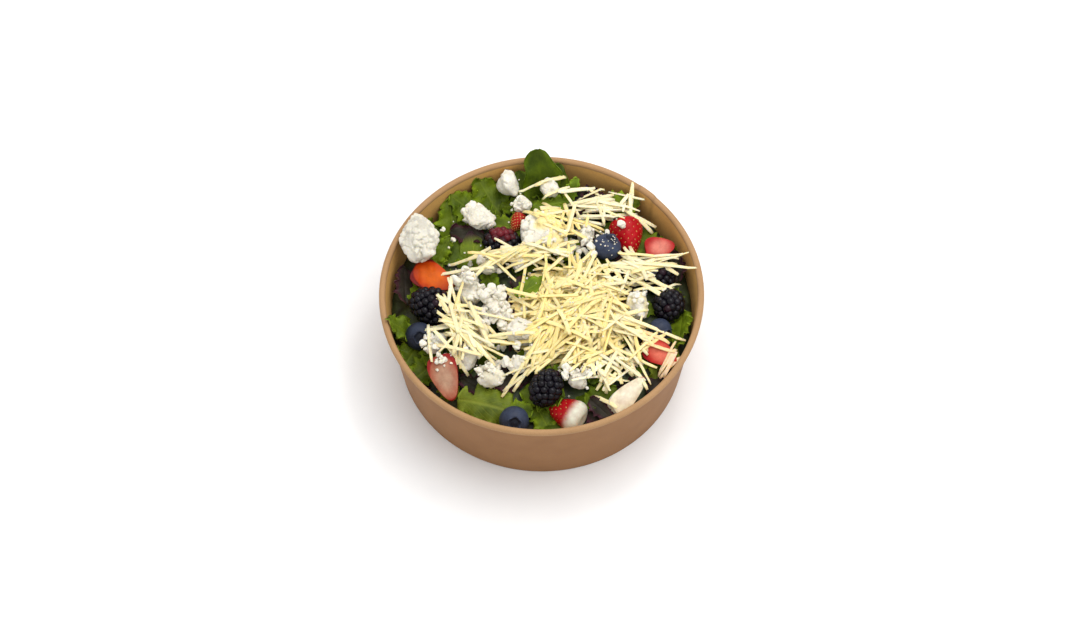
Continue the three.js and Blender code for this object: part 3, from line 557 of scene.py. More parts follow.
def strawberry_material():
    """mark holds a point's direction and distance from the middle of the cut face it is on, if any."""
    nodes = Nodes("strawberry_flesh")
    mottle = nodes.noise(260, 4, 0.6)
    fibres = nodes.noise(900, 3, 0.6)
    colour = nodes.tinted(nodes.shade(mottle, 0.3, 0.7, (0.82, 0.74, 0.72), (1.12, 1.16, 1.16)))
    spot = nodes.attribute("mark")
    stretched = nodes.node("ShaderNodeMapping", {"Vector": spot, "Scale": (7.0, 1.4, 0.0)})
    rays = nodes.node(
        "ShaderNodeTexNoise", {"Vector": stretched.outputs["Vector"], "Scale": 2.2, "Detail": 3.0}
    )
    on_face = nodes.node("ShaderNodeSeparateXYZ", {"Vector": spot}).outputs["Z"]
    share = nodes.maths("MULTIPLY", nodes.ramp(rays.outputs["Fac"], 0.48, 0.7, 0, 0.5), on_face)
    colour = nodes.mix(share, colour, nodes.mix(1.0, colour, (1.15, 1.7, 1.8, 1), "MULTIPLY"))
    nodes.bump(fibres, 0.3, 0.2)
    return nodes.finish(
        colour,
        nodes.ramp(mottle, 0.3, 0.7, 0.26, 0.42),
        Specular_IOR_Level=0.13,
        Subsurface_Weight=0.18,
        Subsurface_Radius=(0.002, 0.0007, 0.0005),
    )


def seed_material():
    nodes = Nodes("strawberry_seed")
    grain = nodes.noise(1500, 2, 0.5)
    colour = nodes.shade(grain, 0.3, 0.7, (0.40, 0.13, 0.03), (0.62, 0.34, 0.09))
    return nodes.finish(colour, nodes.ramp(grain, 0.3, 0.7, 0.4, 0.55))


def core_material():
    nodes = Nodes("heap_core")
    patches = nodes.noise(220, 4, 0.6)
    nodes.bump(patches, 0.8, 1.2)
    # Uneven patches of the painted shade, from deep to lighter.
    colour = nodes.tinted(nodes.shade(patches, 0.35, 0.65, (0.25, 0.25, 0.25), (1.4, 1.4, 1.2)))
    return nodes.finish(colour, nodes.ramp(patches, 0.3, 0.7, 0.5, 0.7))


def floor_material():
    nodes = Nodes("floor")
    grain = nodes.noise(60, 2, 0.5)
    colour = nodes.shade(grain, 0.3, 0.7, (0.88, 0.88, 0.885), (0.9, 0.9, 0.9))
    return nodes.finish(colour, 0.8, Specular_IOR_Level=0.2)


KRAFT = kraft_material()
LEAF = leaf_material()
SHRED = cheese_material("shredded_cheese", 0.5, 900, 0.1, 0.75)
FETA = cheese_material("feta", 0.62, 1300, 0.2, 0.4)
BRAMBLE = berry_material()
BLUEBERRY = bloom_material()
STRAWBERRY = strawberry_material()
SEED = seed_material()
CORE = core_material()


# --- The bowl ------------------------------------------------------------------------------


def inner_radius(z):
    bead_x = RIM_RADIUS - BEAD - BEAD * math.cos(math.radians(10))
    bead_z = BOWL_HEIGHT - BEAD - BEAD * math.sin(math.radians(10))
    return FOOT_RADIUS - BOARD + (bead_x - FOOT_RADIUS + BOARD) * np.asarray(z) / bead_z


def make_bowl():
    # The bead takes the lighter tint, a painted highlight.
    bead = []
    for angle in np.radians(np.linspace(-115, 190, 26)):
        radius = RIM_RADIUS - BEAD + BEAD * math.cos(angle)
        bead.append((radius, BOWL_HEIGHT - BEAD + BEAD * math.sin(angle), BEAD_HIGHLIGHT_TINT))
    floor = RECESS + BOARD
    wall_top = bead[0]
    outer = []
    for share in [*np.linspace(0.012, 0.9, 16), 0.93, 0.95, 0.965, 0.985]:
        shadow = 1 - 0.3 * smooth(share, 0.93, 0.975)
        radius = FOOT_RADIUS + (wall_top[0] - FOOT_RADIUS) * share
        outer.append((radius, wall_top[1] * share, tuple(shadow * np.array(OUTER_TINT))))
    # The inner wall and floor take the lighter tint, painted light.
    levels = np.linspace(bead[-1][1] - 0.5, floor + 0.6, 14)
    inner = [(float(inner_radius(z)), z, INNER_LIT_TINT) for z in levels]
    profile = [
        (0.01, RECESS, INNER_LIT_TINT),
        (FOOT_RADIUS - FOOT_WIDTH - 0.5, RECESS, INNER_LIT_TINT),
        (FOOT_RADIUS - FOOT_WIDTH, RECESS - 0.4, OUTER_TINT),
        (FOOT_RADIUS - FOOT_WIDTH, 0.15, OUTER_TINT),
        (FOOT_RADIUS - FOOT_WIDTH + 0.15, 0, OUTER_TINT),
        (FOOT_RADIUS - 0.15, 0, OUTER_TINT),
        (FOOT_RADIUS, 0.15, OUTER_TINT),
        *outer,
        *bead,
        *inner,
        (float(inner_radius(floor)) - 0.4, floor, INNER_LIT_TINT),
        (0.01, floor, INNER_LIT_TINT),
    ]
    sides = 288
    angles = np.linspace(0, 2 * math.pi, sides, endpoint=False)
    apart = (np.degrees(angles) - SEAM_ANGLE + 180) % 360 - 180
    lap = smooth(apart, 0, 0.7) * (1 - smooth(apart, SEAM_WIDTH, SEAM_WIDTH + 0.7))
    wobble = 0.22 * np.sin(2 * angles + 0.7) + 0.1 * np.sin(5 * angles)
    rows, tints = [], []
    for radius, z, tint in profile:
        on_wall = radius > FOOT_RADIUS - 2.5
        out = SEAM_STEP * lap * on_wall * (0.5 + 0.5 * z / BOWL_HEIGHT)
        shaped = radius + out + wobble * on_wall * z / BOWL_HEIGHT - 0.35 * on_wall * z / BOWL_HEIGHT
        rows.append(np.stack([shaped * np.cos(angles), shaped * np.sin(angles), np.full(sides, z)], 1))
        edge = np.exp(-((apart / 0.5) ** 2)) + np.exp(-(((apart - SEAM_WIDTH) / 0.5) ** 2))
        tints.append(np.array(tint) * (1 - 0.28 * edge * on_wall)[:, None])
    batch = Batch()
    batch.add(np.concatenate(rows), grid_faces(len(profile), sides, True), np.concatenate(tints))
    return batch.build("kraft_bowl", [KRAFT], "kraft_board", ["bowl"])


# --- Leaves --------------------------------------------------------------------------------

LEAF_TINTS = {
    "tall": (0.050, 0.080, 0.0010),
    "smooth": (0.056, 0.088, 0.003),
    "frilly": (0.100, 0.148, 0.006),
    "ribbed": (0.085, 0.124, 0.006),
    "pale": (0.125, 0.165, 0.014),
    "bright": (0.130, 0.200, 0.012),
    "fresh": (0.110, 0.165, 0.006),
    "dark": (0.022, 0.010, 0.013),
}
LEAF_VEINS = {"tall": 0.25, "dark": 0.45, "bright": 0.7, "fresh": 0.7, "ribbed": 0.9, "pale": 0.9}
BLUNT_LEAVES = ("tall", "pale", "bright")


def leaf_surface(leaf, seed):
    """Middle surface of a leaf, and how far along and across each point is."""
    middle, length, width, heading, pitch, roll, bend, cup, ruffle, waves, kind = leaf
    rows, columns = LEAF_GRID
    along, across = np.meshgrid(np.linspace(0, 1, rows), np.linspace(-1, 1, columns), indexing="ij")
    along, across = along.ravel(), across.ravel()
    arc = math.radians(bend) * (along - 0.5)
    fullness = 0.48 if kind in BLUNT_LEAVES else 0.7
    half = width / 2 * (LEAF_STEM + (1 - LEAF_STEM) * np.sin(np.pi * along**0.8) ** fullness)
    frilled = kind in ("frilly", "pale", "dark", "bright", "fresh")
    lobes = 0.16 * np.sin(along * 31 + seed) + 0.1 * np.sin(along * 57 + 2 * seed)
    lobes = lobes if frilled else 0.05 * np.sin(along * 9 + seed + across)
    half = half * (1 + lobes * np.abs(across) ** 3)
    if kind == "tall":
        shoulder = np.exp(-(((along - 0.6) / 0.15) ** 2))
        half = half * (1 + np.where(across < 0, 0.34 * shoulder - 0.16, -0.08 - 0.22 * shoulder))
    edge = across**2
    side = np.sign(across)
    wave = ruffle * edge * np.sin(2 * np.pi * waves * along + across)
    if frilled:
        frill = np.sin(2 * np.pi * waves * 2.7 * along + 1.7 * side + seed)
        wave += 0.45 * ruffle * np.abs(across) ** 3 * frill
    crease = -0.6 * np.exp(-((across / 0.12) ** 2)) * (1 - along)
    rise = wave + cup * half * edge + crease
    distance = length * (along - 0.5)
    points = np.stack(
        [
            distance * np.cos(arc / 2) - rise * np.sin(arc),
            across * half + (2.2 * along if kind == "tall" else 0),
            distance * np.sin(arc / 2) + rise * np.cos(arc),
        ],
        1,
    )
    points = placed(points, (roll, -pitch, heading), middle)
    return kept_in(points), along, across, kind


def kept_in(points):
    """Curls the points that would pass through the wall up along it, and over the bead."""
    heights = [5, BOWL_HEIGHT - 3.4, BOWL_HEIGHT + 0.8, BOWL_HEIGHT + 2.5]
    wall = float(inner_radius(heights[1])) - 1.0
    limits = [float(inner_radius(5)) - 1.0, wall, RIM_RADIUS - 2 * BEAD - 0.7, 78]
    limit = np.interp(points[:, 2], heights, limits)
    radius = np.hypot(points[:, 0], points[:, 1])
    excess = np.maximum(radius - limit, 0)
    points = points * np.stack([1 - excess / radius, 1 - excess / radius, np.ones(len(points))], 1)
    points[:, 2] += 0.45 * excess
    return points


def add_leaf(batch, leaf, seed):
    rng = np.random.default_rng(100 + seed)
    points, along, across, kind = leaf_surface(leaf, seed)
    rows, columns = LEAF_GRID
    grid = points.reshape(rows, columns, 3)
    normal = np.cross(np.gradient(grid, axis=0), np.gradient(grid, axis=1)).reshape(-1, 3)
    normal /= np.linalg.norm(normal, axis=1)[:, None] + 1e-9
    upper, lower = points + normal * LEAF_THICKNESS / 2, points - normal * LEAF_THICKNESS / 2
    top = grid_faces(rows, columns, False)
    count = rows * columns
    border = np.concatenate([
        np.arange(columns),
        np.arange(2 * columns - 1, count, columns),
        np.arange(count - 2, count - columns - 1, -1),
        np.arange(count - 2 * columns, 0, -columns),
    ])
    following = np.roll(border, -1)
    rim = np.stack([border, border + count, following + count, following], 1)
    tint = np.array(LEAF_TINTS[kind]) * rng.uniform(0.8, 1.25)
    edge = smooth(np.abs(across), 0.45, 1.0)[:, None]
    if kind == "dark":
        colour = tint + edge * np.array([0.030, 0.003, 0.011]) + (1 - edge) * np.array([0.0, 0.009, 0.0])
    elif kind == "ribbed":
        tip = smooth(along, 0.62, 0.95)[:, None]
        colour = tint * (1 - tip) + np.array([0.03, 0.015, 0.02]) * tip
    else:
        colour = tint * (0.78 + 0.6 * edge)
    under = colour * 1.15 + np.array([0.02, 0.025, 0.012])
    marks = np.stack([along, across, np.full(count, LEAF_VEINS.get(kind, 0.6))], 1)
    both = np.concatenate([upper, lower])
    faces = [top[:, ::-1], top + count, rim]
    batch.add(both, faces, np.concatenate([colour, under]), np.concatenate([marks, marks]))


def heap_height(x, y):
    share = np.hypot(x, y) / HEAP_RADIUS
    return HEAP_CROWN + (HEAP_EDGE - HEAP_CROWN) * share**HEAP_FALL


def filler_leaves():
    """Small leaves low in the heap, so that no bare core shows between the large ones."""
    rng = np.random.default_rng(5)
    leaves = []
    for index in range(FILLER_COUNT):
        radius = FILLER_REACH * math.sqrt((index + 0.5) / FILLER_COUNT)
        angle = index * GOLDEN
        x, y = radius * math.cos(angle), radius * math.sin(angle)
        length = rng.uniform(13, 21)
        outward = math.degrees(angle)
        heading = outward + rng.choice([-1, 1]) * rng.uniform(50, 120) if radius > 52 else rng.uniform(0, 360)
        kind = rng.choice(["frilly", "smooth", "pale", "dark"], p=[0.5, 0.2, 0.08, 0.22])
        z = float(heap_height(x, y)) + rng.uniform(0.4, 1.8)
        leaves.append((
            (x, y, z), length, length * rng.uniform(0.5, 0.75), heading, rng.uniform(-8, 14),
            rng.uniform(-25, 25), rng.uniform(-40, 30), rng.uniform(-0.3, 0.25), rng.uniform(0.8, 2.0),
            int(rng.integers(2, 5)), str(kind),
        ))
    return leaves


def make_leaves():
    batch = Batch()
    for seed, leaf in enumerate(LEAVES + filler_leaves()):
        add_leaf(batch, leaf, seed)
    return batch


def make_core():
    """The middle of the heap under the leaves, dark as painted shade deep between them."""
    batch = Batch()
    radii = np.concatenate([[0.01], np.linspace(4, 69.5, 34)])
    sides = 150
    angles = np.linspace(0, 2 * math.pi, sides, endpoint=False)
    rows = []
    for radius in radii:
        x, y = radius * np.cos(angles), radius * np.sin(angles)
        flat = np.stack([x, y, np.zeros(sides)], 1)
        z = heap_height(x, y) - 1.6 + 0.9 * ripple(flat, 11, 3) + 0.5 * ripple(flat, 5, 4)
        rows.append(np.stack([x, y, z], 1))
    floor = RECESS + BOARD + 0.4
    wall = inner_radius(HEAP_EDGE) - 0.8
    rows.append(np.stack([wall * np.cos(angles), wall * np.sin(angles), np.full(sides, HEAP_EDGE - 2.5)], 1))
    foot = inner_radius(floor) - 0.8
    rows.append(np.stack([foot * np.cos(angles), foot * np.sin(angles), np.full(sides, floor)], 1))
    rows.append(np.stack([0.01 * np.cos(angles), 0.01 * np.sin(angles), np.full(sides, floor)], 1))
    faces = grid_faces(len(rows), sides, True)
    batch.add(np.concatenate(rows), faces, CORE_SHADE_TINT)
    return batch


def make_drift():
    """The matted middle of the drift of shreds, under the loose ones."""
    batch = Batch()
    rings, sides = 70, 220
    turns = np.linspace(0, 2 * math.pi, sides, endpoint=False)
    share, angle = np.meshgrid(np.linspace(0.004, 1, rings), turns, indexing="ij")
    share, angle = share.ravel(), angle.ravel()
    x = DRIFT_MIDDLE[0] + share * DRIFT_REACH[0] * np.cos(angle)
    y = DRIFT_MIDDLE[1] + share * DRIFT_REACH[1] * np.sin(angle)
    strands = np.zeros(len(x))
    rng = np.random.default_rng(41)
    for _ in range(900):
        middle = rng.uniform(-1, 1, 2) * DRIFT_REACH + DRIFT_MIDDLE
        turn, half, wide = rng.uniform(0, math.pi), rng.uniform(5, 11), rng.uniform(0.6, 0.9)
        along = (x - middle[0]) * math.cos(turn) + (y - middle[1]) * math.sin(turn)
        across = (y - middle[1]) * math.cos(turn) - (x - middle[0]) * math.sin(turn)
        near = np.sqrt(np.maximum(1 - (across / wide) ** 2, 0)) * (np.abs(along) < half)
        strands = np.maximum(strands, near * rng.uniform(0.6, 2.4))
    rise = DRIFT_DEPTH * (1 - share**2) + strands * smooth(1 - share, 0, 0.15)
    for (hole_x, hole_y), radius in LEAF_HOLES:
        away = np.hypot(x - hole_x, y - hole_y)
        sunk = 2.5 * (1 - smooth(away, radius * 0.6, radius * 1.3))
        rise = rise * smooth(away, radius * 0.7, radius * 1.6) - sunk
    z = heap_height(x, y) - 1.2 + rise
    top = np.stack([x, y, z], 1)
    batch.add(top, grid_faces(rings, sides, True), MAT_TINT)
    return batch


# --- Toppings ------------------------------------------------------------------------------


def bramble(batch, size, turn, middle, seed, red_top):
    rng = np.random.default_rng(200 + seed)
    half = np.array(size) / 2
    spacing = 3.6 if size[0] > 12 else 2.7
    area = 4 * math.pi * (half[0] * half[1] + half[0] * half[2] + half[1] * half[2]) / 3
    count = int(area / (0.98 * spacing**2))
    ball, faces = BALLS[3]
    batch.add(placed(ball * half * 0.8, turn, middle), faces, (0.004, 0.003, 0.005))
    for index in range(count):
        height = 1 - 2 * (index + 0.5) / count
        ring = math.sqrt(1 - height * height)
        way = np.array([height, ring * math.cos(index * GOLDEN), ring * math.sin(index * GOLDEN)])
        way += rng.normal(size=3) * 0.035
        normal = way / half
        normal /= np.linalg.norm(normal)
        across = np.cross(normal, [0.31, 0.52, 0.79])
        across /= np.linalg.norm(across)
        axes = np.stack([across, np.cross(normal, across), normal])
        bead = np.array([0.54, 0.54, 0.56]) * spacing * rng.uniform(0.9, 1.1)
        seat = way / np.linalg.norm(way) * (half - bead[2] * 0.82)
        points = (ball * bead) @ axes + seat
        tint = np.array(BRAMBLE_TINT) * rng.uniform(0.6, 1.7)
        points = placed(points, turn, middle)
        if red_top:
            _, back, up = points.mean(0) - middle
            unripe = smooth(up + 0.5 * back, 2.5, 6.5)
            tint = tint * (1 - unripe) + np.array(UNRIPE_TINT) * unripe
        if rng.random() < 0.06:
            tint = tint + np.array([0.012, 0.001, 0.003])
        batch.add(points, faces, tint)


# How light each blueberry is against the common tint, skin and bloom alike.
BLUEBERRY_LIGHTNESS = {"blueberry_back": 1.3, "blueberry_left": 0.65}


def blueberry(batch, name, size, turn, middle, seed):
    rings, sides = 60, 72
    theta = np.concatenate([np.linspace(0.005, 0.62, 30), np.linspace(0.66, math.pi - 0.005, rings - 30)])
    phi = np.linspace(0, 2 * math.pi, sides, endpoint=False)
    theta, phi = np.meshgrid(theta, phi, indexing="ij")
    theta, phi = theta.ravel(), phi.ravel()
    star = np.abs(np.cos(2.5 * phi + seed))
    rim = 0.40 + 0.05 * star
    lip = np.exp(-(((theta - rim) / 0.06) ** 2)) * (0.05 + 0.09 * star)
    bowl = 1 - smooth(theta, rim - 0.1, rim)
    radius = 1 + lip - 0.15 * bowl + 0.02 * np.exp(-((theta / 0.08) ** 2))
    flat = 1 - 0.1 * np.cos(theta) ** 2
    points = np.stack([
        radius * np.sin(theta) * np.cos(phi),
        radius * np.sin(theta) * np.sin(phi),
        radius * np.cos(theta) * flat,
    ], 1)
    points *= 1 + 0.012 * lump(points * 1.4, seed)[:, None]
    points = fitted(points, size)
    tint = np.array(BLUEBERRY_TINT) * BLUEBERRY_LIGHTNESS.get(name, 1.0)
    colour = np.broadcast_to(tint, points.shape).copy()
    colour *= (1 - 0.65 * bowl)[:, None]
    colour += (lip * 0.35)[:, None] * np.array([0.06, 0.05, 0.055])
    batch.add(placed(points, turn, middle), grid_faces(rings, sides, True), colour)


STRAWBERRY_PROFILE = [
    (0, -1), (0.2, -0.955), (0.36, -0.84), (0.54, -0.6), (0.7, -0.3), (0.85, 0.05), (0.93, 0.36),
    (0.9, 0.64), (0.74, 0.88), (0.45, 0.95), (0.2, 0.92), (0, 0.9),
]

# The tint of the skin and, on a cut piece, of the face at its edge and in its middle. From
# turn_pale on, from tip to stem, a piece is white. rays is how strong the rays on the face are.
STRAWBERRY_STYLES = {
    "strawberry_left": dict(
        skin=(0.16, 0.006, 0.005), rim=(0.50, 0.045, 0.002), core=(0.64, 0.11, 0.003), rays=0.15
    ),
    "strawberry_back": dict(skin=(0.36, 0.012, 0.009)),
    "strawberry_right_back": dict(skin=(0.40, 0.004, 0.008)),
    "strawberry_slice": dict(
        skin=(0.36, 0.010, 0.012), rim=(0.42, 0.016, 0.016), core=(0.66, 0.20, 0.15)
    ),
    "strawberry_pale": dict(
        skin=(0.26, 0.016, 0.014), rim=(0.34, 0.10, 0.055), core=(0.40, 0.23, 0.15), rays=0.5
    ),
    "strawberry_front": dict(skin=(0.33, 0.006, 0.008), turn_pale=0.36),
    "strawberry_wedge": dict(
        skin=(0.33, 0.012, 0.012), rim=(0.70, 0.63, 0.46), core=(0.76, 0.71, 0.57), turn_pale=-0.6
    ),
    "strawberry_right": dict(
        skin=(0.36, 0.010, 0.012), rim=(0.46, 0.020, 0.014), core=(0.64, 0.14, 0.09)
    ),
}
NEVER_PALE = 9


def strawberry(batch, name, kind, size, turn, middle, seed):
    style = STRAWBERRY_STYLES[name]
    skin_tint, turn_pale = np.array(style["skin"]), style.get("turn_pale", NEVER_PALE)
    rows, sides = 64, 96
    profile = np.array(STRAWBERRY_PROFILE, float)
    share = np.linspace(0, 1, len(profile))
    steps = np.linspace(0, 1, rows)
    radius = np.interp(steps, share, profile[:, 0])
    height = np.interp(steps, share, profile[:, 1])
    kernel = np.array([1, 4, 6, 4, 1]) / 16
    for _ in range(3):
        radius[2:-2] = np.convolve(radius, kernel, "valid")
        height[2:-2] = np.convolve(height, kernel, "valid")
    phi = np.linspace(0, 2 * math.pi, sides, endpoint=False)
    ring = 1 + 0.03 * np.sin(3 * phi + seed)
    points = np.stack([
        np.repeat(-height, sides),
        (radius[:, None] * ring * np.sin(phi)).ravel(),
        (radius[:, None] * ring * np.cos(phi)).ravel(),
    ], 1)
    cut = 0.12
    on_face = points[:, 2] > cut if kind == "half" else np.zeros(len(points), bool)
    from_middle = np.hypot(points[:, 0] / 0.98, points[:, 1] / 0.93)
    seeds = [pair for pair in seed_places(kind, cut) if -pair[0][0] < turn_pale + 0.05]
    if kind == "half":
        points[:, 2] = np.minimum(points[:, 2], cut)
        points[on_face, 2] += 0.04 * (1 - np.clip(from_middle[on_face], 0, 1) ** 2)
    low, high = points.min(0), points.max(0)
    scale = np.array(size) / (high - low)
    centre = (low + high) / 2
    body = (points - centre) * scale
    spots = (np.array([spot for spot, _ in seeds]) - centre) * scale
    ways = np.array([way for _, way in seeds]) / scale
    ways /= np.linalg.norm(ways, axis=1)[:, None]
    skin = ~on_face
    for spot, way in zip(spots, ways):
        near = np.exp(-(((body - spot) ** 2).sum(1) / 0.7**2)) * skin
        body -= near[:, None] * way * 0.36
    rng = np.random.default_rng(400 + seed)
    body[:, 2] += 0.09 * ripple(body, 3.2, seed) * np.sign(body[:, 2]) * on_face
    pale = smooth(-points[:, 0], turn_pale - 0.25, turn_pale + 0.25)[:, None]
    colour = skin_tint * (1 - pale) + np.array(WHITE_END_TINT) * pale
    if kind == "half":
        blend = smooth(from_middle, 0.25, 0.95)[:, None]
        face = np.array(style["core"]) * (1 - blend) + np.array(style["rim"]) * blend
        edge = smooth(from_middle, 0.88, 0.99)[:, None] * (1 - pale)
        face = face * (1 - edge) + skin_tint * edge
        colour = np.where(on_face[:, None], face, colour)
    direction = np.arctan2(points[:, 1], points[:, 0] - 0.1)
    rays = on_face * (1 - pale[:, 0]) * style.get("rays", 1)
    marks = np.stack([direction, from_middle, rays], 1)
    batch.add(placed(body, turn, middle), grid_faces(rows, sides, True), colour, marks)
    grain, grain_faces = BALLS[2]
    for spot, way in zip(spots, ways):
        lean = np.cross(way, [0, 0.3, 1])
        lean /= np.linalg.norm(lean)
        axes = np.stack([np.cross(lean, way), lean, way])
        pip = (grain * np.array([0.46, 0.27, 0.2]) * rng.uniform(0.85, 1.15)) @ axes + spot - way * 0.26
        batch.add(placed(pip, turn, middle), grain_faces, SEED_TINT, slot=1)


def seed_places(kind, cut):
    """Where the seeds sit on a unit strawberry, and which way is out."""
    profile = np.array(STRAWBERRY_PROFILE, float)
    found = []
    count = 96
    for index in range(count):
        x = 0.93 - 1.75 * (index + 0.5) / count
        radius = np.interp(-x, profile[:, 1][:9], profile[:, 0][:9])
        slope = (np.interp(-x + 0.05, profile[:, 1][:9], profile[:, 0][:9]) - radius) / 0.05
        angle = index * GOLDEN
        spot = np.array([x, radius * math.sin(angle), radius * math.cos(angle)])
        if kind == "half" and spot[2] > cut - 0.08:
            continue
        found.append((spot, np.array([slope, math.sin(angle), math.cos(angle)])))
    return found


def crumb_shape(size, seed, detail, curd, crag):
    """A broken crag with curds on its faces, in the form of its CAD solid.

    The last of what it returns is how far each point stands out of the broken face, from 0 to 1.
    """
    rng = np.random.default_rng(500 + seed)
    way, faces = BALLS[detail]
    base = way * (1 + crag * lump(way, seed))[:, None]
    low, high = base.min(0), base.max(0)
    scale, centre = np.array(size) / (high - low), (low + high) / 2
    base = (base - centre) * scale
    reach = np.linalg.norm(base, axis=1)
    aim = base / reach[:, None]
    broken = 0.84 if min(size) > 3 else 0.68
    breaks = rng.integers(0, len(base), 16)
    facing = np.maximum(aim @ aim[breaks].T, 0.05)
    cut = (reach[breaks] * rng.uniform(broken, 0.98, 16) / facing).min(1)
    broken_face = np.minimum(reach, cut)
    best = broken_face
    area = math.pi * (size[0] * size[1] + size[1] * size[2] + size[0] * size[2]) / 3
    for pick in rng.integers(0, len(base), max(4, int(area / curd**2 * 1.2))):
        radius = curd * rng.uniform(0.3, 1.0)
        seat = aim[pick] * (best[pick] - radius * rng.uniform(0.35, 0.9))
        squash = rng.normal(size=3)
        squash *= 0.4 / np.linalg.norm(squash)
        ahead = aim @ seat
        inside = (radius * (1 + aim @ squash)) ** 2 - (seat @ seat - ahead**2)
        hit = np.where(inside > 0, ahead + np.sqrt(np.maximum(inside, 0)), 0)
        best = np.maximum(best, np.minimum(hit, reach * 1.04))
    points = aim * best[:, None]
    grain = 0.12 * ripple(points, 2.2, seed + 7) + 0.05 * ripple(points, 1.0, seed + 8)
    stands_out = smooth(best - broken_face, 0, 0.5)
    return points + aim * (grain * min(1.0, min(size) / 5))[:, None], faces, stands_out


def feta_tint(rng):
    return np.array(FETA_TINT) * rng.uniform(0.92, 1.04)


# How much of a crumb is yellow with the dust of the shreds.
FETA_STAINS = {"feta_crown": 1.0, "feta_right": 0.6, "feta_back_inner": 0.3, "feta_front": 0.2}


def feta(batch, name, size, turn, middle, seed):
    detail = 6 if max(size) > 16 else 5
    points, faces, stands_out = crumb_shape(size, seed, detail, 1.7 if name == "feta_rim" else 2.0, 0.24)
    tint = feta_tint(np.random.default_rng(seed)) * (0.88 if name == "feta_rim" else 1)
    # Points low between the curds are darker, as painted shade in the crevices.
    tint = tint * (0.82 + 0.2 * stands_out)[:, None]
    if name in FETA_STAINS:
        stain = smooth(ripple(points, 9, seed) + 0.12 * points[:, 0] + 0.5, 0, 1) * FETA_STAINS[name]
        tint = tint * (1 - stain)[:, None] + np.array(STAIN_TINT) * stain[:, None]
    batch.add(placed(points, turn, middle), faces, tint)


def make_toppings():
    made = []
    for seed, (name, kind, middle, size, turn) in enumerate(TOPPINGS):
        batch = Batch()
        if kind == "bramble":
            bramble(batch, size, turn, middle, seed, name == "bramble_back")
            materials, slot = [BRAMBLE], "bramble_skin"
        elif kind == "blueberry":
            blueberry(batch, name, size, turn, middle, seed)
            materials, slot = [BLUEBERRY], "blueberry_skin"
        elif kind == "feta":
            feta(batch, name, size, turn, middle, seed)
            materials, slot = [FETA], "feta"
        else:
            strawberry(batch, name, kind, size, turn, middle, seed)
            materials, slot = [STRAWBERRY, SEED], "strawberry_flesh"
        batch.build(name + "_look", materials, slot, [name])
        made.append(batch)
    return made


# --- Loose things, laid on what is under them ------------------------------------------------


class HeightMap:
    """The top of everything so far, on a square grid."""

    def __init__(self, batches):
        self.cells = int(2 * GRID_REACH / GRID_STEP) + 1
        self.top = np.zeros((self.cells, self.cells))
        for batch in batches:
            points = np.concatenate(batch.points)
            self.raise_to(points[:, 0], points[:, 1], points[:, 2])
        self.close_gaps()
        rim = np.linspace(0, 2 * math.pi, 1500)
        for radius in np.arange(RIM_RADIUS - 3.2, RIM_RADIUS, 0.4):
            self.raise_to(radius * np.cos(rim), radius * np.sin(rim), np.full(1500, BOWL_HEIGHT))

    def index(self, values):
        cells = ((np.asarray(values) + GRID_REACH) / GRID_STEP).round().astype(int)
        return np.clip(cells, 0, self.cells - 1)

    def raise_to(self, x, y, z):
        np.maximum.at(self.top, (self.index(x), self.index(y)), z)

    def close_gaps(self):
        """Fills cells that no point fell in from their neighbours."""
        for _ in range(2):
            wide = np.pad(self.top, 1, mode="edge")
            around = [wide[i:i + self.cells, j:j + self.cells] for i in range(3) for j in range(3)]
            best = np.max(around, axis=0)
            self.top = np.where(self.top < best - 4, best, self.top)

    def at(self, x, y):
        return self.top[self.index(x), self.index(y)]


def rod_heights(ground, points, thick):
    """Heights of a stiff shred over its path: a line on its two highest supports."""
    rest = ground.at(points[:, 0], points[:, 1]) + thick / 2
    count = len(rest)
    share = np.linspace(-0.5, 0.5, count)
    left, right = np.where(share < 0)[0], np.where(share > 0)[0]
    apart = share[right][None, :] - share[left][:, None]
    slope = (rest[right][None, :] - rest[left][:, None]) / apart
    middle = rest[left][:, None] - share[left][:, None] * slope
    best = np.unravel_index(middle.argmax(), middle.shape)
    line = middle[best] + share * slope[best]
    return line, slope[best]


def covered(plan, places):
    """The share of a path that lies over any of the places."""
    inside = [np.hypot(plan[:, 0] - x, plan[:, 1] - y) < radius for (x, y), radius in places]
    return np.any(inside, axis=0).mean()


def shred_path(ground, start, heading, length, thick, rng):
    """The middle line of a shred, or nothing if it would stand up, stick out or hide a leaf."""
    along = np.linspace(-0.5, 0.5, SHRED_STEPS)
    curve = rng.normal() * 0.014 * length
    way = np.array([math.cos(heading), math.sin(heading)])
    across = np.array([-way[1], way[0]])
    offset = curve * (along**2 * 4 - 0.5) + rng.normal() * 0.004 * length * np.sin(along * 7)
    plan = np.array(start)[None, :] + along[:, None] * length * way + offset[:, None] * across
    hides = covered(plan, LEAF_HOLES) > 0.12 or covered(plan, BARE_PLACES) > rng.uniform(0.02, 0.36)
    if hides or np.hypot(plan[:, 0], plan[:, 1]).max() > SHRED_REACH:
        return None
    line, slope = rod_heights(ground, plan, thick)
    droop = np.clip(line - ground.at(plan[:, 0], plan[:, 1]) - thick / 2, 0, 3)
    line = line - droop * 0.5 * (2 * np.abs(along)) ** 2 - 0.45 * droop.mean()
    if abs(slope) > 0.8 * length or line.max() > SHRED_TOP:
        return None
    return np.column_stack([plan, line])


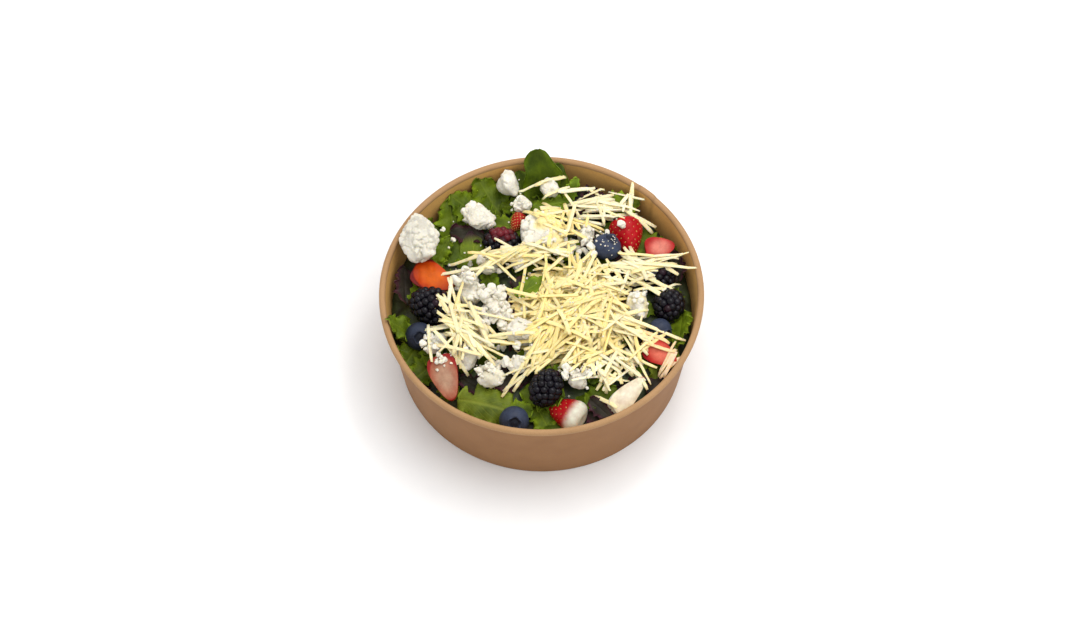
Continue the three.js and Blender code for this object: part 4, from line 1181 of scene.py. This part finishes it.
def add_shred(batch, ground, start, heading, length, rng, pale):
    wide, thick = rng.uniform(*SHRED_WIDTH), rng.uniform(*SHRED_HEIGHT)
    middle = shred_path(ground, start, heading, length, thick, rng)
    if middle is None:
        return
    along = np.linspace(-0.5, 0.5, SHRED_STEPS)
    ahead = np.gradient(middle, axis=0)
    ahead /= np.linalg.norm(ahead, axis=1)[:, None]
    side = np.cross(np.array([0, 0, 1.0]), ahead)
    side /= np.linalg.norm(side, axis=1)[:, None]
    up = np.cross(ahead, side)
    twist = math.radians(rng.normal() * 14) + along * rng.normal() * 0.5
    cosine, sine = np.cos(twist)[:, None], np.sin(twist)[:, None]
    side, up = side * cosine + up * sine, up * cosine - side * sine
    taper = np.minimum(1, 0.74 + (0.5 - np.abs(along)) * length / rng.uniform(4, 9))
    taper = taper * (1 + 0.05 * rng.normal(size=SHRED_STEPS))
    rings = []
    for a, b in SHRED_SECTION:
        across = side * (a * wide / 2 * taper)[:, None]
        rings.append(middle + across + up * (b * thick / 2 * np.minimum(taper, 1))[:, None])
    points = np.stack(rings, 1).reshape(-1, 3)
    ends = np.array([[7, 6, 5, 4], [7, 4, 3, 0], [3, 2, 1, 0]])
    corners = len(SHRED_SECTION)
    caps = np.concatenate([ends, ends[:, ::-1] + (SHRED_STEPS - 1) * corners])
    yellow, cream = np.array(YELLOW_TINT), np.array(CREAM_TINT)
    tint = yellow + (cream - yellow) * np.clip(pale + rng.normal() * 0.2, 0, 1)
    if 50 < start[0] and start[1] < -20:
        tint = tint * np.array([0.95, 0.78, 0.72])
    batch.add(points, [grid_faces(SHRED_STEPS, corners, True), caps], tint * rng.uniform(0.9, 1.08))
    fine = np.linspace(-0.5, 0.5, max(5, int(length / 0.4)))
    spots = np.stack([np.interp(fine, along, middle[:, axis]) for axis in range(3)], 1)
    for drift in (-0.6, 0, 0.6):
        shift = np.array([-math.sin(heading), math.cos(heading)]) * drift
        ground.raise_to(spots[:, 0] + shift[0], spots[:, 1] + shift[1], spots[:, 2] + thick / 2)


def make_shreds(ground):
    batch = Batch()
    rng = np.random.default_rng(21)
    queue = []
    for middle, spread, count, (heading, fan), lengths, pale in SHRED_CLUSTERS:
        for _ in range(count):
            start = np.array(middle) + np.clip(rng.normal(size=2), -1.9, 1.9) * np.array(spread) * 0.62
            turn = heading + (rng.uniform(-1, 1) if fan >= 90 else rng.normal() * 0.7) * fan
            queue.append((start, math.radians(turn), rng.uniform(*lengths), pale))
    for index in rng.permutation(len(queue)):
        start, turn, length, pale = queue[index]
        add_shred(batch, ground, start, turn, length, rng, pale)
    for start, end in SHRED_LINES:
        way = np.subtract(end, start)
        turn = math.atan2(way[1], way[0])
        add_shred(batch, ground, np.add(start, end) / 2, turn, np.hypot(*way), rng, 0.6)
    return batch


def add_crumb(batch, ground, x, y, wide, seed, rng):
    """Lays a crumb on what is there, but not on a bramble."""
    on_bramble = any(
        math.hypot(x - middle[0], y - middle[1]) < size[1] / 2 + wide / 3
        for _, kind, middle, size, _ in TOPPINGS if kind == "bramble"
    )
    if on_bramble or math.hypot(x, y) > CRUMB_REACH:
        return
    shape = (wide, wide * rng.uniform(0.65, 1), wide * rng.uniform(0.55, 0.85))
    detail = 4 if wide > 4.2 else 3 if wide > 1.5 else 2
    points, faces, stands_out = crumb_shape(shape, seed, detail, wide * 0.4, 0.4)
    z = float(ground.at(x, y)) + shape[2] * 0.28
    points = placed(points, (rng.uniform(-20, 20), rng.uniform(-20, 20), rng.uniform(0, 360)), (x, y, z))
    # The crumb is darker low between its curds, as painted shade in the crevices.
    batch.add(points, faces, feta_tint(rng) * (0.9 + 0.12 * stands_out)[:, None])
    ground.raise_to(points[:, 0], points[:, 1], points[:, 2])


def make_crumbs(ground):
    """Small crumbs of feta among the large ones, under the shreds."""
    batch = Batch()
    rng = np.random.default_rng(31)
    seed = 0
    for middle, spread, count, sizes in CRUMB_CLUSTERS:
        for _ in range(count):
            x, y = np.array(middle) + np.clip(rng.normal(size=2), -2, 2) * np.array(spread) * 0.6
            wide = sizes[0] + (sizes[1] - sizes[0]) * rng.random() ** 1.8
            add_crumb(batch, ground, x, y, wide, seed, rng)
            seed += 1
    return batch


def add_dust(batch, ground):
    """The finest crumbs, on top of everything."""
    rng = np.random.default_rng(37)
    for seed in range(CRUMB_DUST):
        x, y = rng.normal(2, 24), rng.normal(4, 24)
        add_crumb(batch, ground, x, y, rng.uniform(0.5, 1.3), 1000 + seed, rng)


# --- Camera, light and floor -----------------------------------------------------------------


def make_camera():
    elevation = math.radians(CAMERA_ELEVATION)
    back = np.array([0, -math.cos(elevation), math.sin(elevation)])
    data = bpy.data.cameras.new("camera")
    data.sensor_fit = "HORIZONTAL"
    data.sensor_width = CAMERA_SENSOR
    data.lens = CAMERA_LENS
    data.clip_start, data.clip_end = 0.05, 20
    camera = bpy.data.objects.new("camera", data)
    camera.location = (np.array(CAMERA_AIM) + back * CAMERA_DISTANCE) * MM
    camera.rotation_euler = (math.pi / 2 - elevation, 0, 0)
    bpy.context.collection.objects.link(camera)
    bpy.context.scene.camera = camera


def make_light(name, place, size, power, tone):
    data = bpy.data.lights.new(name, "AREA")
    data.shape = "DISK"
    data.size = size
    data.energy = power
    data.color = tone
    lamp = bpy.data.objects.new(name, data)
    lamp.location = place
    x, y, z = -np.array(place) / np.linalg.norm(place)
    lamp.rotation_euler = (math.acos(-z), 0, math.atan2(-x, y))
    bpy.context.collection.objects.link(lamp)


def make_studio():
    world = bpy.data.worlds.new("studio")
    world.use_nodes = True
    back = world.node_tree.nodes["Background"]
    back.inputs["Color"].default_value = (1.0, 1.0, 1.0, 1)
    back.inputs["Strength"].default_value = SKY_STRENGTH
    bpy.context.scene.world = world
    for lamp in LAMPS:
        make_light(*lamp)
    bpy.context.scene.view_settings.view_transform = "Standard"
    mesh = bpy.data.meshes.new("floor")
    corners = [(x * FLOOR_HALF, y * FLOOR_HALF, FLOOR_LEVEL) for x, y in ((-1, -1), (1, -1), (1, 1), (-1, 1))]
    mesh.from_pydata(corners, [], [(0, 1, 2, 3)])
    mesh.materials.append(floor_material())
    floor = bpy.data.objects.new("floor", mesh)
    bpy.context.collection.objects.link(floor)


make_camera()
make_studio()
make_bowl()
leaves = make_leaves()
core = make_core()
drift = make_drift()
toppings = make_toppings()
ground = HeightMap([leaves, core, drift] + toppings)
leaves.build("salad_leaves", [LEAF], "leaf", ["greens"])
core.build("heap_core", [CORE], "leaf")
drift.build("cheese_mat", [SHRED], "shredded_cheese")
crumbs = make_crumbs(ground)
shreds = make_shreds(ground)
shreds.build("cheese_shreds_look", [SHRED], "shredded_cheese", ["cheese_shreds"])
add_dust(crumbs, ground)
crumbs.build("feta_crumbs", [FETA], "feta")
